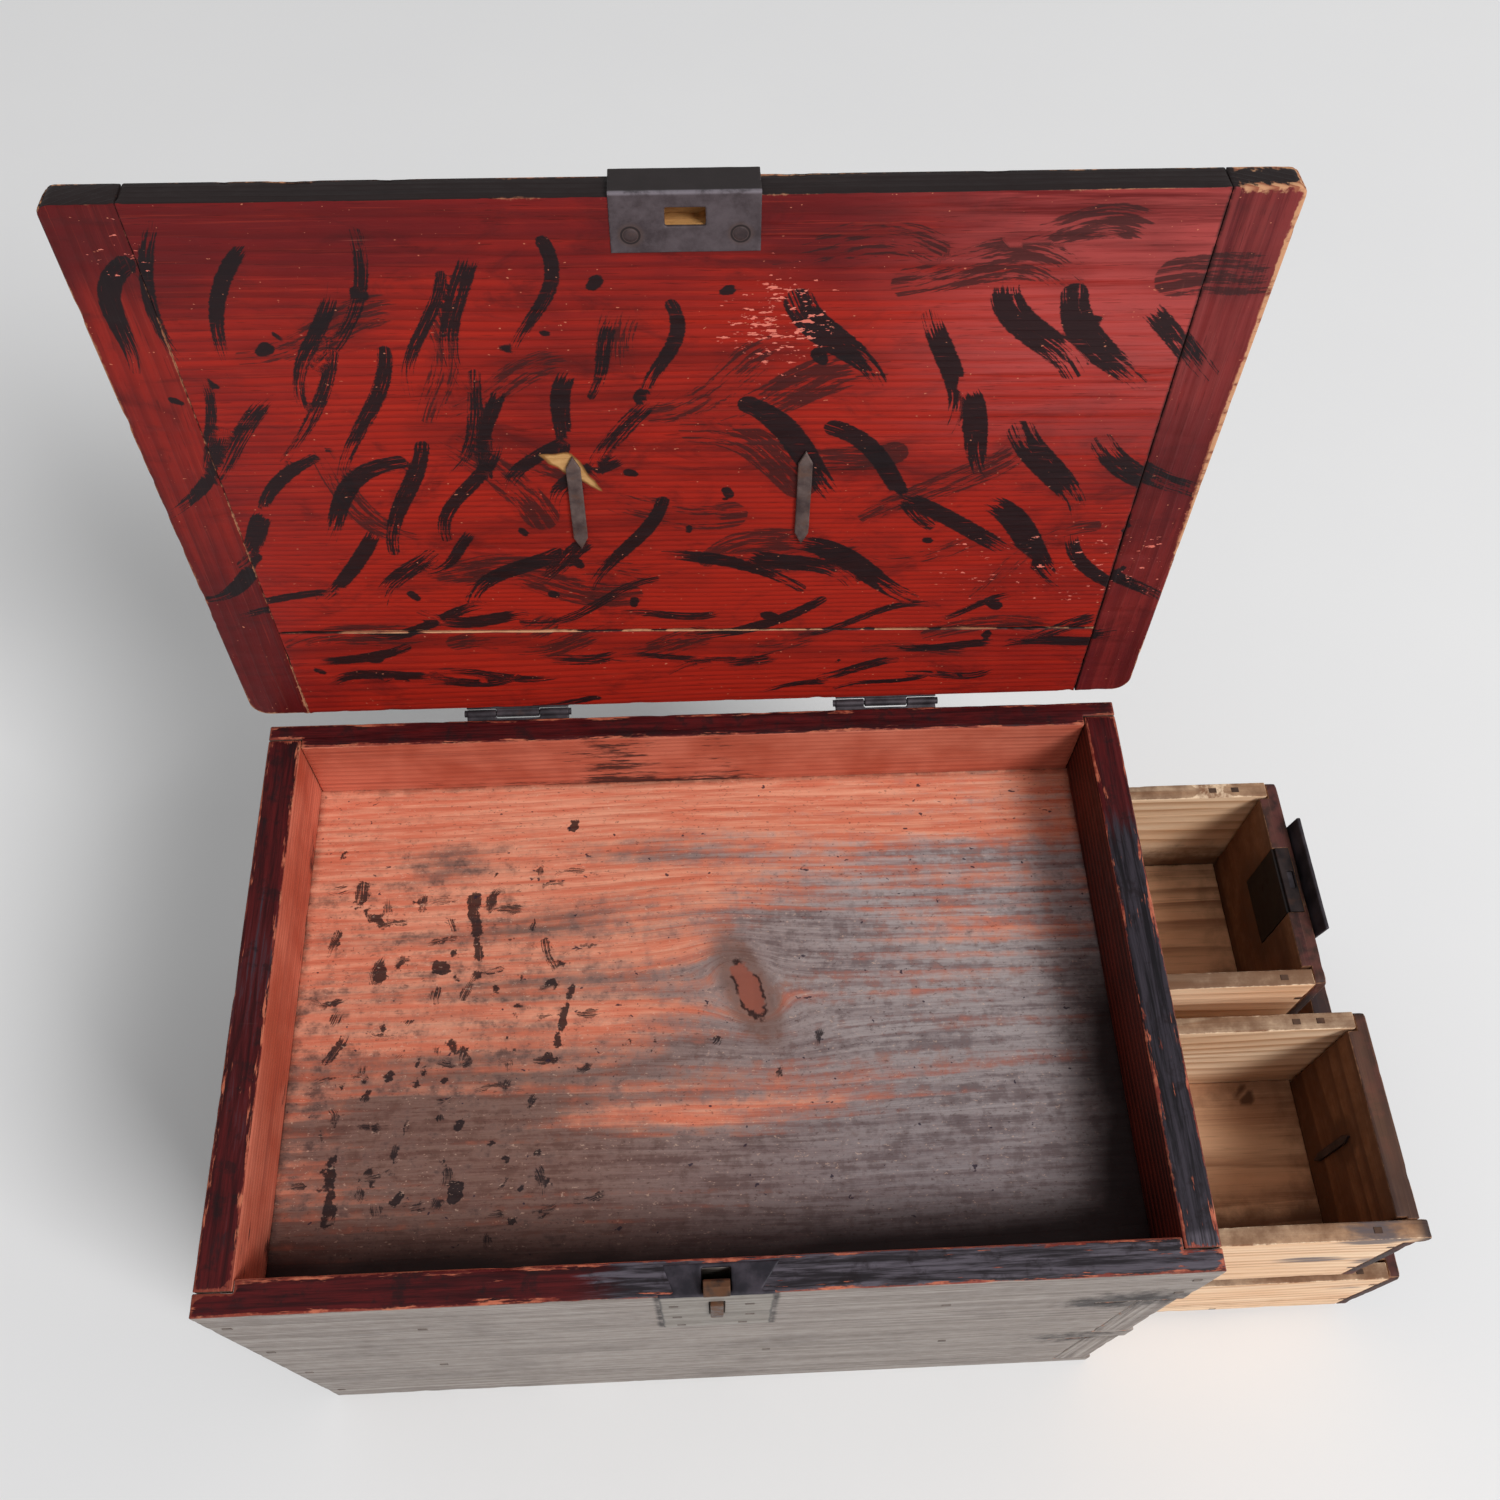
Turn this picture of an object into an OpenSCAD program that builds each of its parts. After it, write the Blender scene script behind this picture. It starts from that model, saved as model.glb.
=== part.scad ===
// Calligraphy box: a lacquered softwood case with a tray under a hinged lid, two drawers side by side
// and one wide drawer below them, all opening at the right. The box stands on its underside.
// The origin is the centre of the underside: +X to the drawers, -Y to the lock, +Z up.
// At rest the lid is open and the drawers are pulled out.

/* [Case] */
// Outside width of the case
case_w = 380; // [340:1:440]
// Outside depth of the case
case_d = 249.5; // [242:0.5:290]
// Height of the rail over the upper drawers
apron_h = 58; // [55:0.5:75]
// Clear height of the upper drawer bays
upper_bay_h = 81.5; // [70:0.5:100]
// Height of the rail between the bays
rail_h = 16.5; // [13:0.5:24]
// Width of that rail, seen from above
rail_w = 31; // [24:1:45]
// Clear height of the lower drawer bay
lower_bay_h = 72; // [60:0.5:95]
// Thickness of the bottom board
bottom_t = 10; // [8:0.5:16]
// Thickness of the front board
front_t = 13.5; // [12:0.5:16]
// Thickness of the back board
back_t = 12; // [10:0.5:16]
// Thickness of the left board and of the rail at the right of the tray
side_t = 14.5; // [12:0.5:18]
// Depth of the tray under the lid
tray_depth = 40; // [30:0.5:42]
// Thickness of the tray's floor
floor_t = 12; // [8:0.5:12.5]
// Thickness of the shelf between the drawers
shelf_t = 9; // [7:0.5:12]
// How deep boards are let into each other
housing = 4.5; // [3:0.5:6]
// Thickness of the upright between the two upper drawers
divider_t = 12; // [8:0.5:16]
// Width of the corner post at the right front, along X
post_w = 19; // [16:0.5:23]
// Depth of that post, along Y
post_d = 19.2; // [17:0.1:24]
// How far the post stands back from the ends of the front board
post_inset = 2.6; // [0.5:0.1:4]
// Height of the saw cuts that overran the notches of the front board
kerf_h = 2.4; // [0.8:0.1:3]
// Length of those saw cuts
kerf_len = 17; // [6:1:24]
// Height of the strips that guide the drawers at the front
guide_h = 22; // [12:1:40]

/* [Drawers] */
// Clearance beside a drawer
drawer_gap = 0.6; // [0.3:0.1:1.2]
// Clearance above a drawer
drawer_headroom = 1.5; // [0.8:0.1:3]
// Length of a drawer from its face to its end board
drawer_len = 354; // [310:1:356]
// Width of the front upper drawer
front_drawer_w = 98.9; // [80:0.1:110]
// How far the front upper drawer is pulled out
front_drawer_out = 106; // [60:1:150]
// How far the back upper drawer is pulled out
back_drawer_out = 92.7; // [60:0.1:150]
// How far the lower drawer is pulled out
lower_drawer_out = 136.5; // [60:0.5:170]
// Thickness of a drawer front
drawer_front_t = 10; // [9:0.5:14]
// Thickness of the sides and the end of a drawer
drawer_side_t = 7.8; // [6:0.1:10]
// Thickness of a drawer's bottom
drawer_bottom_t = 5; // [4:0.5:7]
// How deep a drawer's sides are let into its front
drawer_rabbet = 4.6; // [3:0.1:6]
// Rounding of the upper corners of a drawer front
drawer_corner_r = 3; // [1:0.5:5]
// How far the side's finger stands proud of the front upper drawer
finger_proud = 4.2; // [1:0.1:6]
// Height of that finger
finger_h = 9; // [6:0.5:14]

/* [Lid] */
// Width of the lid
lid_w = 393.7; // [382:0.1:450]
// How far the lid reaches past the front of the case
lid_over = 5.7; // [4:0.1:12]
// Thickness of the lid
lid_t = 11.5; // [10:0.5:15]
// How far the lid stands open from shut
lid_angle = 95.75; // [90:0.25:100]
// Gap under the shut lid
lid_gap = 0.5; // [0.4:0.1:1]
// Width of the cleats at the two ends of the lid
cleat_w = 24.5; // [20:0.5:32]
// Thickness of the tongues that hold the cleats
tongue_t = 4; // [3:0.5:5]
// Length of those tongues
tongue_len = 8; // [5:0.5:12]
// Joint of the two lid boards at the left, from the hinged edge
split_left = 55; // [45:1:70]
// The same joint at the right
split_right = 44; // [42:1:70]
// Open joint between the two boards
split_gap = 0.3; // [0.1:0.1:0.8]
// Rounding of the lid's corners at the hinges
lid_corner_r = 8; // [3:0.5:14]

/* [Hinges] */
// Middle of the left hinge
hinge_left_x = -80; // [-110:1:-60]
// Middle of the right hinge
hinge_right_x = 86; // [60:0.1:110]
// Width of a hinge
hinge_w = 45.6; // [36:0.1:60]
// Outer radius of a knuckle
barrel_r = 1.75; // [1.65:0.05:2.2]
// Thickness of a hinge leaf
leaf_t = 1; // [0.8:0.1:1.2]
// Length of a leaf on the back board or on the lid
leaf_len = 36; // [24:1:41]
// Radius of a hinge pin
pin_r = 0.85; // [0.8:0.05:1]
// Clearance between a knuckle and the leaf beside it
knuckle_clear = 0.35; // [0.3:0.05:0.6]
// Clearance of a hinge pin in its knuckles
pin_fit = 0.05; // [0.03:0.01:0.1]
// Width of the middle knuckle
knuckle_w = 19; // [12:0.5:24]
// Gap beside the middle knuckle
knuckle_gap = 0.3; // [0.2:0.1:0.6]

/* [Lock of the lid] */
// Middle of the lock along X
lock_x = 0.6; // [-10:0.1:10]
// Thickness of the lock plates
plate_t = 1.2; // [0.8:0.1:1.6]
// Width of the plate on the front
plate_w = 43; // [38:0.5:60]
// Height of the plate on the front
plate_h = 68; // [60:1:75]
// Width of the plate's top at the front arris
plate_neck_w = 31; // [26:0.5:36]
// Width of the plate's top at the tray
plate_top_w = 39.6; // [34:0.5:50]
// How far the right back corner of that top stands further out
plate_top_skew = 4; // [0:0.5:6]
// Depth of the plate's top
plate_top_d = 11.6; // [11.2:0.1:11.8]
// Width of the catch's head
catch_w = 10; // [7:0.5:11.5]
// Thickness of the catch's stem
catch_t = 2.3; // [1.8:0.1:2.6]
// How far the catch reaches up out of the case
catch_rise = 5.6; // [4:0.1:6]
// Travel of the catch
catch_throw = 1.2; // [0.6:0.1:1.2]
// Height of the catch inside the front board
catch_h = 44; // [42:1:50]
// Room behind the catch
pocket_behind = 5.4; // [3:0.1:5.4]
// How far the catch's tab stands out of the front plate
tab_proud = 1.6; // [0.5:0.1:3]
// Width of the slot in the front plate
slot_w = 5.8; // [4.5:0.1:7]
// Height of the slot in the front plate
slot_h = 28; // [18:1:29]
// Width of the strike plate on the lid
strike_w = 47.6; // [40:0.1:60]
// How far the strike plate reaches in from the lid's front edge
strike_d = 20.2; // [17:0.1:28]
// Width of the hole in the strike plate
strike_hole_w = 13; // [12:0.1:15]
// Depth of the mortise in the lid
mortise_h = 7.6; // [6.8:0.1:8]

/* [Handles] */
// Distance between the two split pins of the lid's bail
bail_w = 86; // [70:1:110]
// Distance of the bail's pins from the hinged edge
bail_v = 122.6; // [110:0.1:140]
// Radius of the bail's bar
bail_r = 2.4; // [2:0.1:3]
// Radius of the bail's grip at its middle
grip_r = 3.4; // [3:0.1:4]
// Drop of the bail from its axis to its grip
bail_drop = 42; // [36:1:48]
// Rounding of the bail's corners
bail_bend = 11; // [8:0.5:16]
// Distance of an eye's axis from the surface
eye_off = 6.6; // [6:0.1:8]
// Width of the iron strip of the bail's split pins
bail_strip_w = 5.4; // [4.5:0.1:6.5]
// Width of the strip of a drawer's split pin
ring_strip_w = 3.6; // [3:0.1:4.5]
// Thickness of these strips
strip_t = 1.2; // [0.9:0.1:1.4]
// Clearance between an eye and what hangs in it
eye_fit = 0.4; // [0.3:0.05:0.6]
// Radius of the round washer under an eye
rose_r = 8.5; // [7:0.5:11]
// Thickness of that washer
rose_t = 1; // [0.8:0.1:1.4]
// Mean radius of a drawer's ring
ring_mean_r = 12; // [10:0.5:15]
// Radius of the ring's bar
ring_bar_r = 1.5; // [1.2:0.1:1.9]
// Height of the pull plate on the back upper drawer, below the drawer's top
pull_h = 36; // [28:1:50]
// Width of the pull plate
pull_w = 57; // [45:0.5:70]
// Thickness of the pull plate
pull_t = 1.6; // [1.2:0.1:2]
// How far the pull plate's lip stands above the drawer
lip_rise = 7.5; // [5:0.5:10]
// How far the lip leans out
lip_lean = 2.4; // [2:0.1:5]

/* [Lock of the back upper drawer] */
// Length of the iron strip in the drawer's top edge
lock_strip_l = 33; // [28:1:40]
// Width of that strip
lock_strip_w = 6.8; // [6:0.1:8]
// Height of the lock's case
lock_case_h = 38; // [34:1:46]
// Thickness of the lock's case
lock_case_t = 7.6; // [6.4:0.1:8]
// Width of the bolt
bolt_w = 8.4; // [6:0.1:10]
// Thickness of the bolt
bolt_t = 2.4; // [2:0.1:2.8]
// Travel of the bolt
bolt_throw = 5; // [3:0.1:5.5]
// Clearance round the bolt
bolt_fit = 0.25; // [0.15:0.05:0.4]

/* [Nails] */
// Side of a board nail's shank
nail_w = 1.6; // [1.2:0.1:2.2]
// Length of a board nail
nail_len = 26; // [20:1:30]
// Length of a nail in a drawer or in a plate
tack_len = 9; // [7:0.5:9.5]
// Length of a nail's flat head
head_l = 3.4; // [2.8:0.1:4.5]
// Width of the head
head_w = 2.4; // [2.2:0.1:3.2]
// Thickness of the head
head_t = 0.8; // [0.5:0.1:1]
// How far a head stands proud of the face
head_proud = 0.25; // [0.1:0.05:0.4]

/* [Hidden] */
$fn = 48;

// Levels and faces of the case
case_h = bottom_t + lower_bay_h + rail_h + upper_bay_h + apron_h;
left_x = -case_w / 2;
right_x = case_w / 2;
front_y = -case_d / 2;
back_y = case_d / 2;
rail_z = bottom_t + lower_bay_h;
shelf_z = rail_z + rail_h;
apron_z = shelf_z + upper_bay_h;
floor_z = case_h - tray_depth - floor_t;
inner_left = left_x + side_t;
inner_front = front_y + front_t;
inner_back = back_y - back_t;
bay_front = front_y + post_d;

// Drawers, from the front: each has its low Y, width, low Z, height and the X of its face
upper_h = upper_bay_h - drawer_headroom;
lower_h = lower_bay_h - drawer_headroom;
front_drawer_y = bay_front + drawer_gap;
divider_y = front_drawer_y + front_drawer_w + drawer_gap;
back_drawer_y = divider_y + divider_t + drawer_gap;
back_drawer_w = inner_back - drawer_gap - back_drawer_y;
lower_drawer_w = inner_back - drawer_gap - front_drawer_y;
front_face = right_x + front_drawer_out;
back_face = right_x + back_drawer_out;
lower_face = right_x + lower_drawer_out;
upper_top = shelf_z + upper_h;
back_mid = back_drawer_y + back_drawer_w / 2;

// The lid, drawn shut
lid_len = case_d + lid_over;
axis_y = back_y + barrel_r + leaf_t + knuckle_clear;
lid_z = case_h + lid_gap;
lid_top = lid_z + lid_t;
lid_front = back_y - lid_len;
field_x = lid_w / 2 - cleat_w;
leaf_holes = [[-0.36, 0.24], [0.36, 0.24], [-0.3, 0.8], [0.3, 0.8]];
leaf_clip = 5;

// The catch, from the front face of the case, and the hole in the strike plate that it enters
stem_gap = 0.3;
stem_y = front_y + plate_t + catch_throw + stem_gap;
pocket_w = catch_w + 1.2;
pocket_d = catch_t + catch_throw + pocket_behind;
nose_len = 3.7;
nose_front_gap = 0.5;
stem_back_gap = 0.3;
strike_hole_y = stem_y - nose_len - nose_front_gap;
strike_hole_d = nose_len + catch_t + nose_front_gap + stem_back_gap;
strike_proud = 0.2;
nose_z = lid_z - strike_proud + plate_t + 0.7;
mortise_fit = 0.2;
slot_top = 12;
tab_fit = 0.4;
tab_lap = 1;
rivet_in = 6.4;
rivet_r = 1.6;
rivet_x = strike_w / 2 - rivet_in;
rivet_y = lid_front + strike_d - rivet_in;

// Split pins, rings and the bail
eye_hole_r = bail_r + eye_fit;
ring_eye_r = ring_bar_r + eye_fit;
leg_long = 27;
leg_short = 21;
leg_point = 6;
shank_fit = 0.2;
bail_y = back_y - bail_v;
bail_z = lid_top + rose_t + eye_off - 1;
bail_end = 5;
leg_clear = 1.2;
bend_step = 0.1;
bend_lap = 0.8;
ring_x = rose_t + eye_off - 1.6;
front_pin_y = front_drawer_y + front_drawer_w / 2;
front_pin_z = shelf_z + 0.45 * upper_h;
lower_pin_y = front_drawer_y + lower_drawer_w / 2;
lower_pin_z = bottom_t + 0.5 * lower_h;
drawer_leg_up = 20;
drawer_leg_down = 23;

// Tacks in a drawer's top edges: near side 0 or far side 1, then the share of the drawer's length
top_tacks = [[0, 0.054], [1, 0.059], [1, 0.09]];
// Nails of the lock plate: shares of its width from the middle, and of its height from the top
plate_tacks = [[-0.38, 0.29], [-0.36, 0.65], [-0.33, 0.93], [0.29, 0.3], [0.3, 0.64], [0.24, 0.92]];

// The lock of the back upper drawer
lock_case_x = back_face - drawer_front_t;
lock_strip_x = lock_case_x + 1.2;
bolt_cover = 0.8;
bolt_x = lock_case_x + lock_case_t - bolt_cover - bolt_t / 2;
bolt_foot = 8;
bolt_len = lock_case_h - bolt_foot;
bolt_sunk = 0.6;
keeper_d = bolt_throw - bolt_sunk - drawer_headroom + 0.8;
keeper_fit = 0.6;
key_drop = 21;
key_r = 2.2;
key_slot_w = 2.2;
key_slot_h = 7;
pull_knee = 6;
pull_rivet_in = 5.8;
pull_rivet_step = 14;
pull_rivet_r = 1.3;
lid_color = [0.62, 0.13, 0.08];
rim_color = [0.3, 0.09, 0.09];
bare_color = [0.72, 0.55, 0.36];
gray_color = [0.5, 0.46, 0.42];
tray_color = [0.72, 0.36, 0.27];
iron_color = [0.2, 0.19, 0.2];

function split_v(x) = split_left + (split_right - split_left) * (x + field_x) / (2 * field_x);

module block(lo, hi) {
    translate(lo) cube(hi - lo);
}

// A nail whose flat head lies in the plane z = 0 and whose shank points down
module nail(len, proud = 0) {
    translate([-head_l / 2, -head_w / 2, -head_t]) cube([head_l, head_w, head_t + proud]);
    translate([-nail_w / 2, -nail_w / 2, -len]) cube([nail_w, nail_w, len - head_t]);
}

module front_nails() {
    left_z = [for (s = [0.1, 0.37, 0.64, 0.9]) s * case_h];
    for (z = left_z)
        translate([left_x + side_t / 2, front_y, z]) rotate([90, 0, 0]) nail(nail_len, head_proud);
    for (s = [-0.32, 0.06, 0.27])
        translate([s * case_w, front_y, shelf_z - shelf_t / 2]) rotate([90, 0, 0])
            nail(nail_len, head_proud);
    for (s = [-0.3, 0.24])
        translate([s * case_w, front_y, floor_z + floor_t / 2]) rotate([90, 0, 0])
            nail(nail_len, head_proud);
    for (s = [0.3, 0.75])
        translate([right_x - side_t / 2, front_y, apron_z + s * apron_h]) rotate([90, 0, 0])
            nail(nail_len, head_proud);
}

module back_nails() {
    for (s = [0.1, 0.37, 0.64, 0.9])
        translate([left_x + side_t / 2, back_y, s * case_h]) rotate([-90, 0, 0]) nail(nail_len, head_proud);
    for (s = [-0.32, 0.02, 0.33])
        translate([s * case_w, back_y, shelf_z - shelf_t / 2]) rotate([-90, 0, 0]) nail(nail_len, head_proud);
    for (s = [-0.34, 0, 0.34])
        translate([s * case_w, back_y, bottom_t / 2]) rotate([-90, 0, 0]) nail(nail_len, head_proud);
    for (s = [0.3, 0.75])
        translate([right_x - side_t / 2, back_y, apron_z + s * apron_h]) rotate([-90, 0, 0])
            nail(nail_len, head_proud);
}

module left_nails() {
    for (s = [-0.28, 0, 0.28], z = [bottom_t / 2, shelf_z - shelf_t / 2, floor_z + floor_t / 2])
        translate([left_x, s * case_d, z]) rotate([0, -90, 0]) nail(nail_len, head_proud);
}

module hinge_leaf_nails() {
    for (x = [hinge_left_x, hinge_right_x], h = leaf_holes)
        translate([x + h[0] * hinge_w, back_y + leaf_t, case_h - h[1] * leaf_len]) rotate([-90, 0, 0])
            nail(tack_len, head_proud);
}

module lock_plate_nails() {
    for (t = plate_tacks)
        translate([lock_x + t[0] * plate_w, front_y, case_h - t[1] * plate_h]) rotate([90, 0, 0])
            nail(tack_len, head_proud);
}

// Boards whose own shape cuts the housings in their neighbours
module floor_body() {
    block([inner_left - housing, inner_front - housing, floor_z],
        [right_x - side_t + housing, inner_back + housing, floor_z + floor_t]);
}

module shelf_body() {
    block([inner_left - housing, inner_front - housing, shelf_z - shelf_t],
        [right_x - rail_w, inner_back + housing, shelf_z]);
}

module left_body() {
    block([left_x, inner_front - housing, 0], [inner_left, inner_back + housing, case_h]);
}

module apron_body() {
    block([right_x - side_t, inner_front - housing, apron_z], [right_x, inner_back + housing, case_h]);
}

module post_notches(lo_y) {
    for (z = [[bottom_t, rail_z], [shelf_z, apron_z]])
        block([right_x - post_w, lo_y, z[0]], [right_x + 1, inner_front + 1, z[1]]);
}

module plate_top(z_lo, z_hi) {
    translate([lock_x, front_y, z_lo]) linear_extrude(z_hi - z_lo)
        polygon([[-plate_neck_w / 2, 0], [plate_neck_w / 2, 0],
            [plate_top_w / 2 + plate_top_skew, plate_top_d], [-plate_top_w / 2, plate_top_d]]);
}

module lock_plate_body() {
    block([lock_x - plate_w / 2, front_y, case_h - plate_h],
        [lock_x + plate_w / 2, front_y + plate_t, case_h]);
    plate_top(case_h - plate_t, case_h);
}

module catch_pocket() {
    block([lock_x - pocket_w / 2, front_y + plate_t, case_h - catch_h],
        [lock_x + pocket_w / 2, front_y + plate_t + pocket_d, case_h]);
}

module front_board() {
    color(gray_color) difference() {
        block([left_x, front_y, 0], [right_x, inner_front, case_h]);
        left_body();
        apron_body();
        floor_body();
        shelf_body();
        post_notches(front_y - 1);
        for (z = [apron_z, rail_z])
            block([right_x - post_w - kerf_len, front_y - 1, z - kerf_h / 2],
                [right_x - post_w + 1, inner_front + 1, z + (z == apron_z ? kerf_h / 2 : 0)]);
        lock_plate_body();
        catch_pocket();
        front_nails();
        lock_plate_nails();
    }
}

module back_board() {
    color(rim_color) difference() {
        block([left_x, inner_back, 0], [right_x, back_y, case_h]);
        left_body();
        apron_body();
        floor_body();
        shelf_body();
        back_nails();
        hinge_leaf_nails();
    }
}

module left_board() {
    color(rim_color) difference() {
        left_body();
        floor_body();
        shelf_body();
        front_nails();
        back_nails();
        left_nails();
    }
}

module right_apron() {
    color(rim_color) difference() {
        apron_body();
        floor_body();
        front_nails();
        back_nails();
        translate([bolt_x - back_drawer_out, back_mid, apron_z])
            cube([bolt_t + 2 * keeper_fit, bolt_w + 2 * keeper_fit, 2 * keeper_d], center = true);
    }
}

module post_body() {
    block([right_x - post_w, front_y, bottom_t], [right_x - post_inset, bay_front, apron_z]);
}

module corner_post() {
    color(gray_color) difference() {
        post_body();
        block([right_x - post_w - 1, front_y - 1, rail_z], [right_x, inner_front, shelf_z]);
    }
}

module tray_floor() {
    color(tray_color) difference() {
        floor_body();
        front_nails();
        left_nails();
    }
}

module mid_rail() {
    color(gray_color) difference() {
        block([right_x - rail_w, inner_front, rail_z], [right_x, inner_back, shelf_z]);
        block([right_x - post_w, inner_front - 1, rail_z - 1], [right_x + 1, bay_front, shelf_z + 1]);
    }
}

module drawer_shelf() {
    color(bare_color) difference() {
        shelf_body();
        front_nails();
        back_nails();
        left_nails();
    }
}

module drawer_divider() {
    color(bare_color) difference() {
        block([inner_left, divider_y, shelf_z], [right_x, divider_y + divider_t, floor_z]);
        apron_body();
    }
}

// Strips that fill the step behind the post, so that the drawers run straight
module drawer_guides() {
    color(bare_color) for (z = [bottom_t, shelf_z])
        block([inner_left, inner_front, z], [right_x - post_w, bay_front, z + guide_h]);
}

module bottom_board() {
    color(bare_color) difference() {
        block([inner_left, inner_front, 0], [right_x, inner_back, bottom_t]);
        back_nails();
        left_nails();
    }
}

module case_nails() {
    color(iron_color) {
        front_nails();
        back_nails();
        left_nails();
        hinge_leaf_nails();
        lock_plate_nails();
    }
}

module lock_plate() {
    color(iron_color) difference() {
        lock_plate_body();
        catch_pocket();
        block([lock_x - slot_w / 2, front_y - 1, case_h - slot_top - slot_h],
            [lock_x + slot_w / 2, front_y + plate_t + 1, case_h - slot_top]);
        lock_plate_nails();
    }
}

// The catch: a stem in the front board, a tab in the plate's slot and a head that hooks forward
module lid_catch() {
    color(iron_color) {
        translate([lock_x - catch_w / 2, 0, 0]) rotate([90, 0, 90]) linear_extrude(catch_w)
            polygon([[stem_y, case_h - catch_h], [stem_y + catch_t, case_h - catch_h],
                [stem_y + catch_t, case_h + catch_rise - 0.8], [stem_y + catch_t - 0.8, case_h + catch_rise],
                [stem_y - 1, case_h + catch_rise], [stem_y - nose_len + 0.2, nose_z + 0.9],
                [stem_y - nose_len, nose_z], [stem_y, nose_z]]);
        block([lock_x - slot_w / 2 + tab_fit, front_y - tab_proud, case_h - slot_top - slot_h + tab_fit],
            [lock_x + slot_w / 2 - tab_fit, stem_y + tab_lap, case_h - slot_top - tab_fit]);
    }
}

// The flat of a hinge leaf, from its knuckles to its clipped corners
module leaf_plate(len) {
    linear_extrude(leaf_t)
        polygon([[-hinge_w / 2, 0], [hinge_w / 2, 0], [hinge_w / 2, len - leaf_clip],
            [hinge_w / 2 - leaf_clip, len], [-hinge_w / 2 + leaf_clip, len],
            [-hinge_w / 2, len - leaf_clip]]);
}

module knuckle(x_lo, x_hi, web_z) {
    translate([x_lo, axis_y, case_h]) rotate([0, 90, 0]) cylinder(r = barrel_r, h = x_hi - x_lo);
    block([x_lo, back_y, case_h + min(web_z, web_z + leaf_t)],
        [x_hi, axis_y, case_h + max(web_z, web_z + leaf_t)]);
}

module pin_bore(x) {
    translate([x - hinge_w, axis_y, case_h]) rotate([0, 90, 0])
        cylinder(r = pin_r + pin_fit, h = 2 * hinge_w);
}

module case_leaf(x) {
    color(iron_color) difference() {
        union() {
            translate([x, back_y, case_h - barrel_r + leaf_t]) rotate([-90, 0, 0]) leaf_plate(leaf_len);
            knuckle(x - hinge_w / 2, x - knuckle_w / 2 - knuckle_gap, -barrel_r);
            knuckle(x + knuckle_w / 2 + knuckle_gap, x + hinge_w / 2, -barrel_r);
        }
        pin_bore(x);
        hinge_leaf_nails();
    }
}

module left_hinge_case_leaf() {
    case_leaf(hinge_left_x);
}

module right_hinge_case_leaf() {
    case_leaf(hinge_right_x);
}

// A hinge pin with a peened end at each side
module hinge_pin(x) {
    color(iron_color) translate([x, axis_y, case_h]) rotate([0, 90, 0]) {
        cylinder(r = pin_r, h = hinge_w, center = true);
        for (side = [-1, 1])
            translate([0, 0, side * (hinge_w / 2 + 0.5)]) cylinder(r = pin_r + 0.7, h = 1, center = true);
    }
}

module left_hinge_pin() {
    hinge_pin(hinge_left_x);
}

module right_hinge_pin() {
    hinge_pin(hinge_right_x);
}

// The lid and what rides on it are drawn shut and turned open about the hinge axis
module opened() {
    translate([0, axis_y, case_h]) rotate([-lid_angle, 0, 0]) translate([0, -axis_y, -case_h]) children();
}

module leaf_lid_nails() {
    for (x = [hinge_left_x, hinge_right_x], h = leaf_holes)
        translate([x + h[0] * hinge_w, back_y - h[1] * leaf_len, lid_top + leaf_t])
            nail(tack_len, head_proud);
}

module cleat_nails() {
    for (side = [-1, 1], s = [0.12, 0.5, 0.88])
        translate([side * lid_w / 2, back_y - s * lid_len, lid_z + lid_t / 2]) rotate([0, side * 90, 0])
            nail(nail_len, head_proud);
}

// The rear or the main board of the lid at its full length, bounded by the slanting joint between them
module panel(x_reach, rear) {
    v_lo = rear ? [0, 0] : [for (x = [-x_reach, x_reach]) split_v(x) + split_gap / 2];
    v_hi = rear ? [for (x = [-x_reach, x_reach]) split_v(x) - split_gap / 2] : [lid_len, lid_len];
    translate([0, 0, lid_z]) linear_extrude(lid_t)
        polygon([[-x_reach, back_y - v_lo[0]], [x_reach, back_y - v_lo[1]], [x_reach, back_y - v_hi[1]],
            [-x_reach, back_y - v_hi[0]]]);
}

// A board of the lid: its ends are cut back above and below to leave the tongues
module lid_board(rear) {
    shoulder = (lid_t - tongue_t) / 2;
    difference() {
        panel(field_x + tongue_len, rear);
        for (side = [-1, 1], z = [lid_z - 1, lid_top - shoulder])
            translate([side > 0 ? field_x : -field_x - tongue_len - 1, lid_front - 1, z])
                cube([tongue_len + 1, lid_len + 2, shoulder + 1]);
    }
}

// The narrow passage of a split pin through its board, along Z
module shank_hole(strip_w) {
    cube([strip_w + 2 * shank_fit, 2 * (strip_t + shank_fit), 4 * lid_t], center = true);
}

module strike_body() {
    x_lo = lock_x - strike_w / 2;
    x_hi = lock_x + strike_w / 2;
    z_lo = lid_z - strike_proud;
    block([x_lo, lid_front - plate_t, z_lo], [x_hi, lid_front + strike_d, z_lo + plate_t]);
    block([x_lo, lid_front - plate_t, z_lo], [x_hi, lid_front, lid_top + plate_t]);
    block([x_lo, lid_front - plate_t, lid_top], [x_hi, lid_front + strike_d, lid_top + plate_t]);
}

module rivet_pair(grow) {
    for (x = [-rivet_x, rivet_x])
        translate([lock_x + x, rivet_y, lid_z - strike_proud - grow])
            cylinder(r = rivet_r, h = lid_t + plate_t + strike_proud + 2 * grow);
}

module lid_main_board() {
    color(lid_color) opened() difference() {
        lid_board(false);
        strike_body();
        rivet_pair(0);
        cleat_nails();
        block([lock_x - strike_hole_w / 2, strike_hole_y - catch_throw - mortise_fit, lid_z - 1],
            [lock_x + strike_hole_w / 2, strike_hole_y + strike_hole_d, lid_z + mortise_h]);
        for (side = [-1, 1])
            translate([side * bail_w / 2, bail_y, lid_top]) shank_hole(bail_strip_w);
    }
}

module lid_rear_board() {
    color(lid_color) opened() difference() {
        lid_board(true);
        leaf_lid_nails();
        cleat_nails();
    }
}

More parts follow.
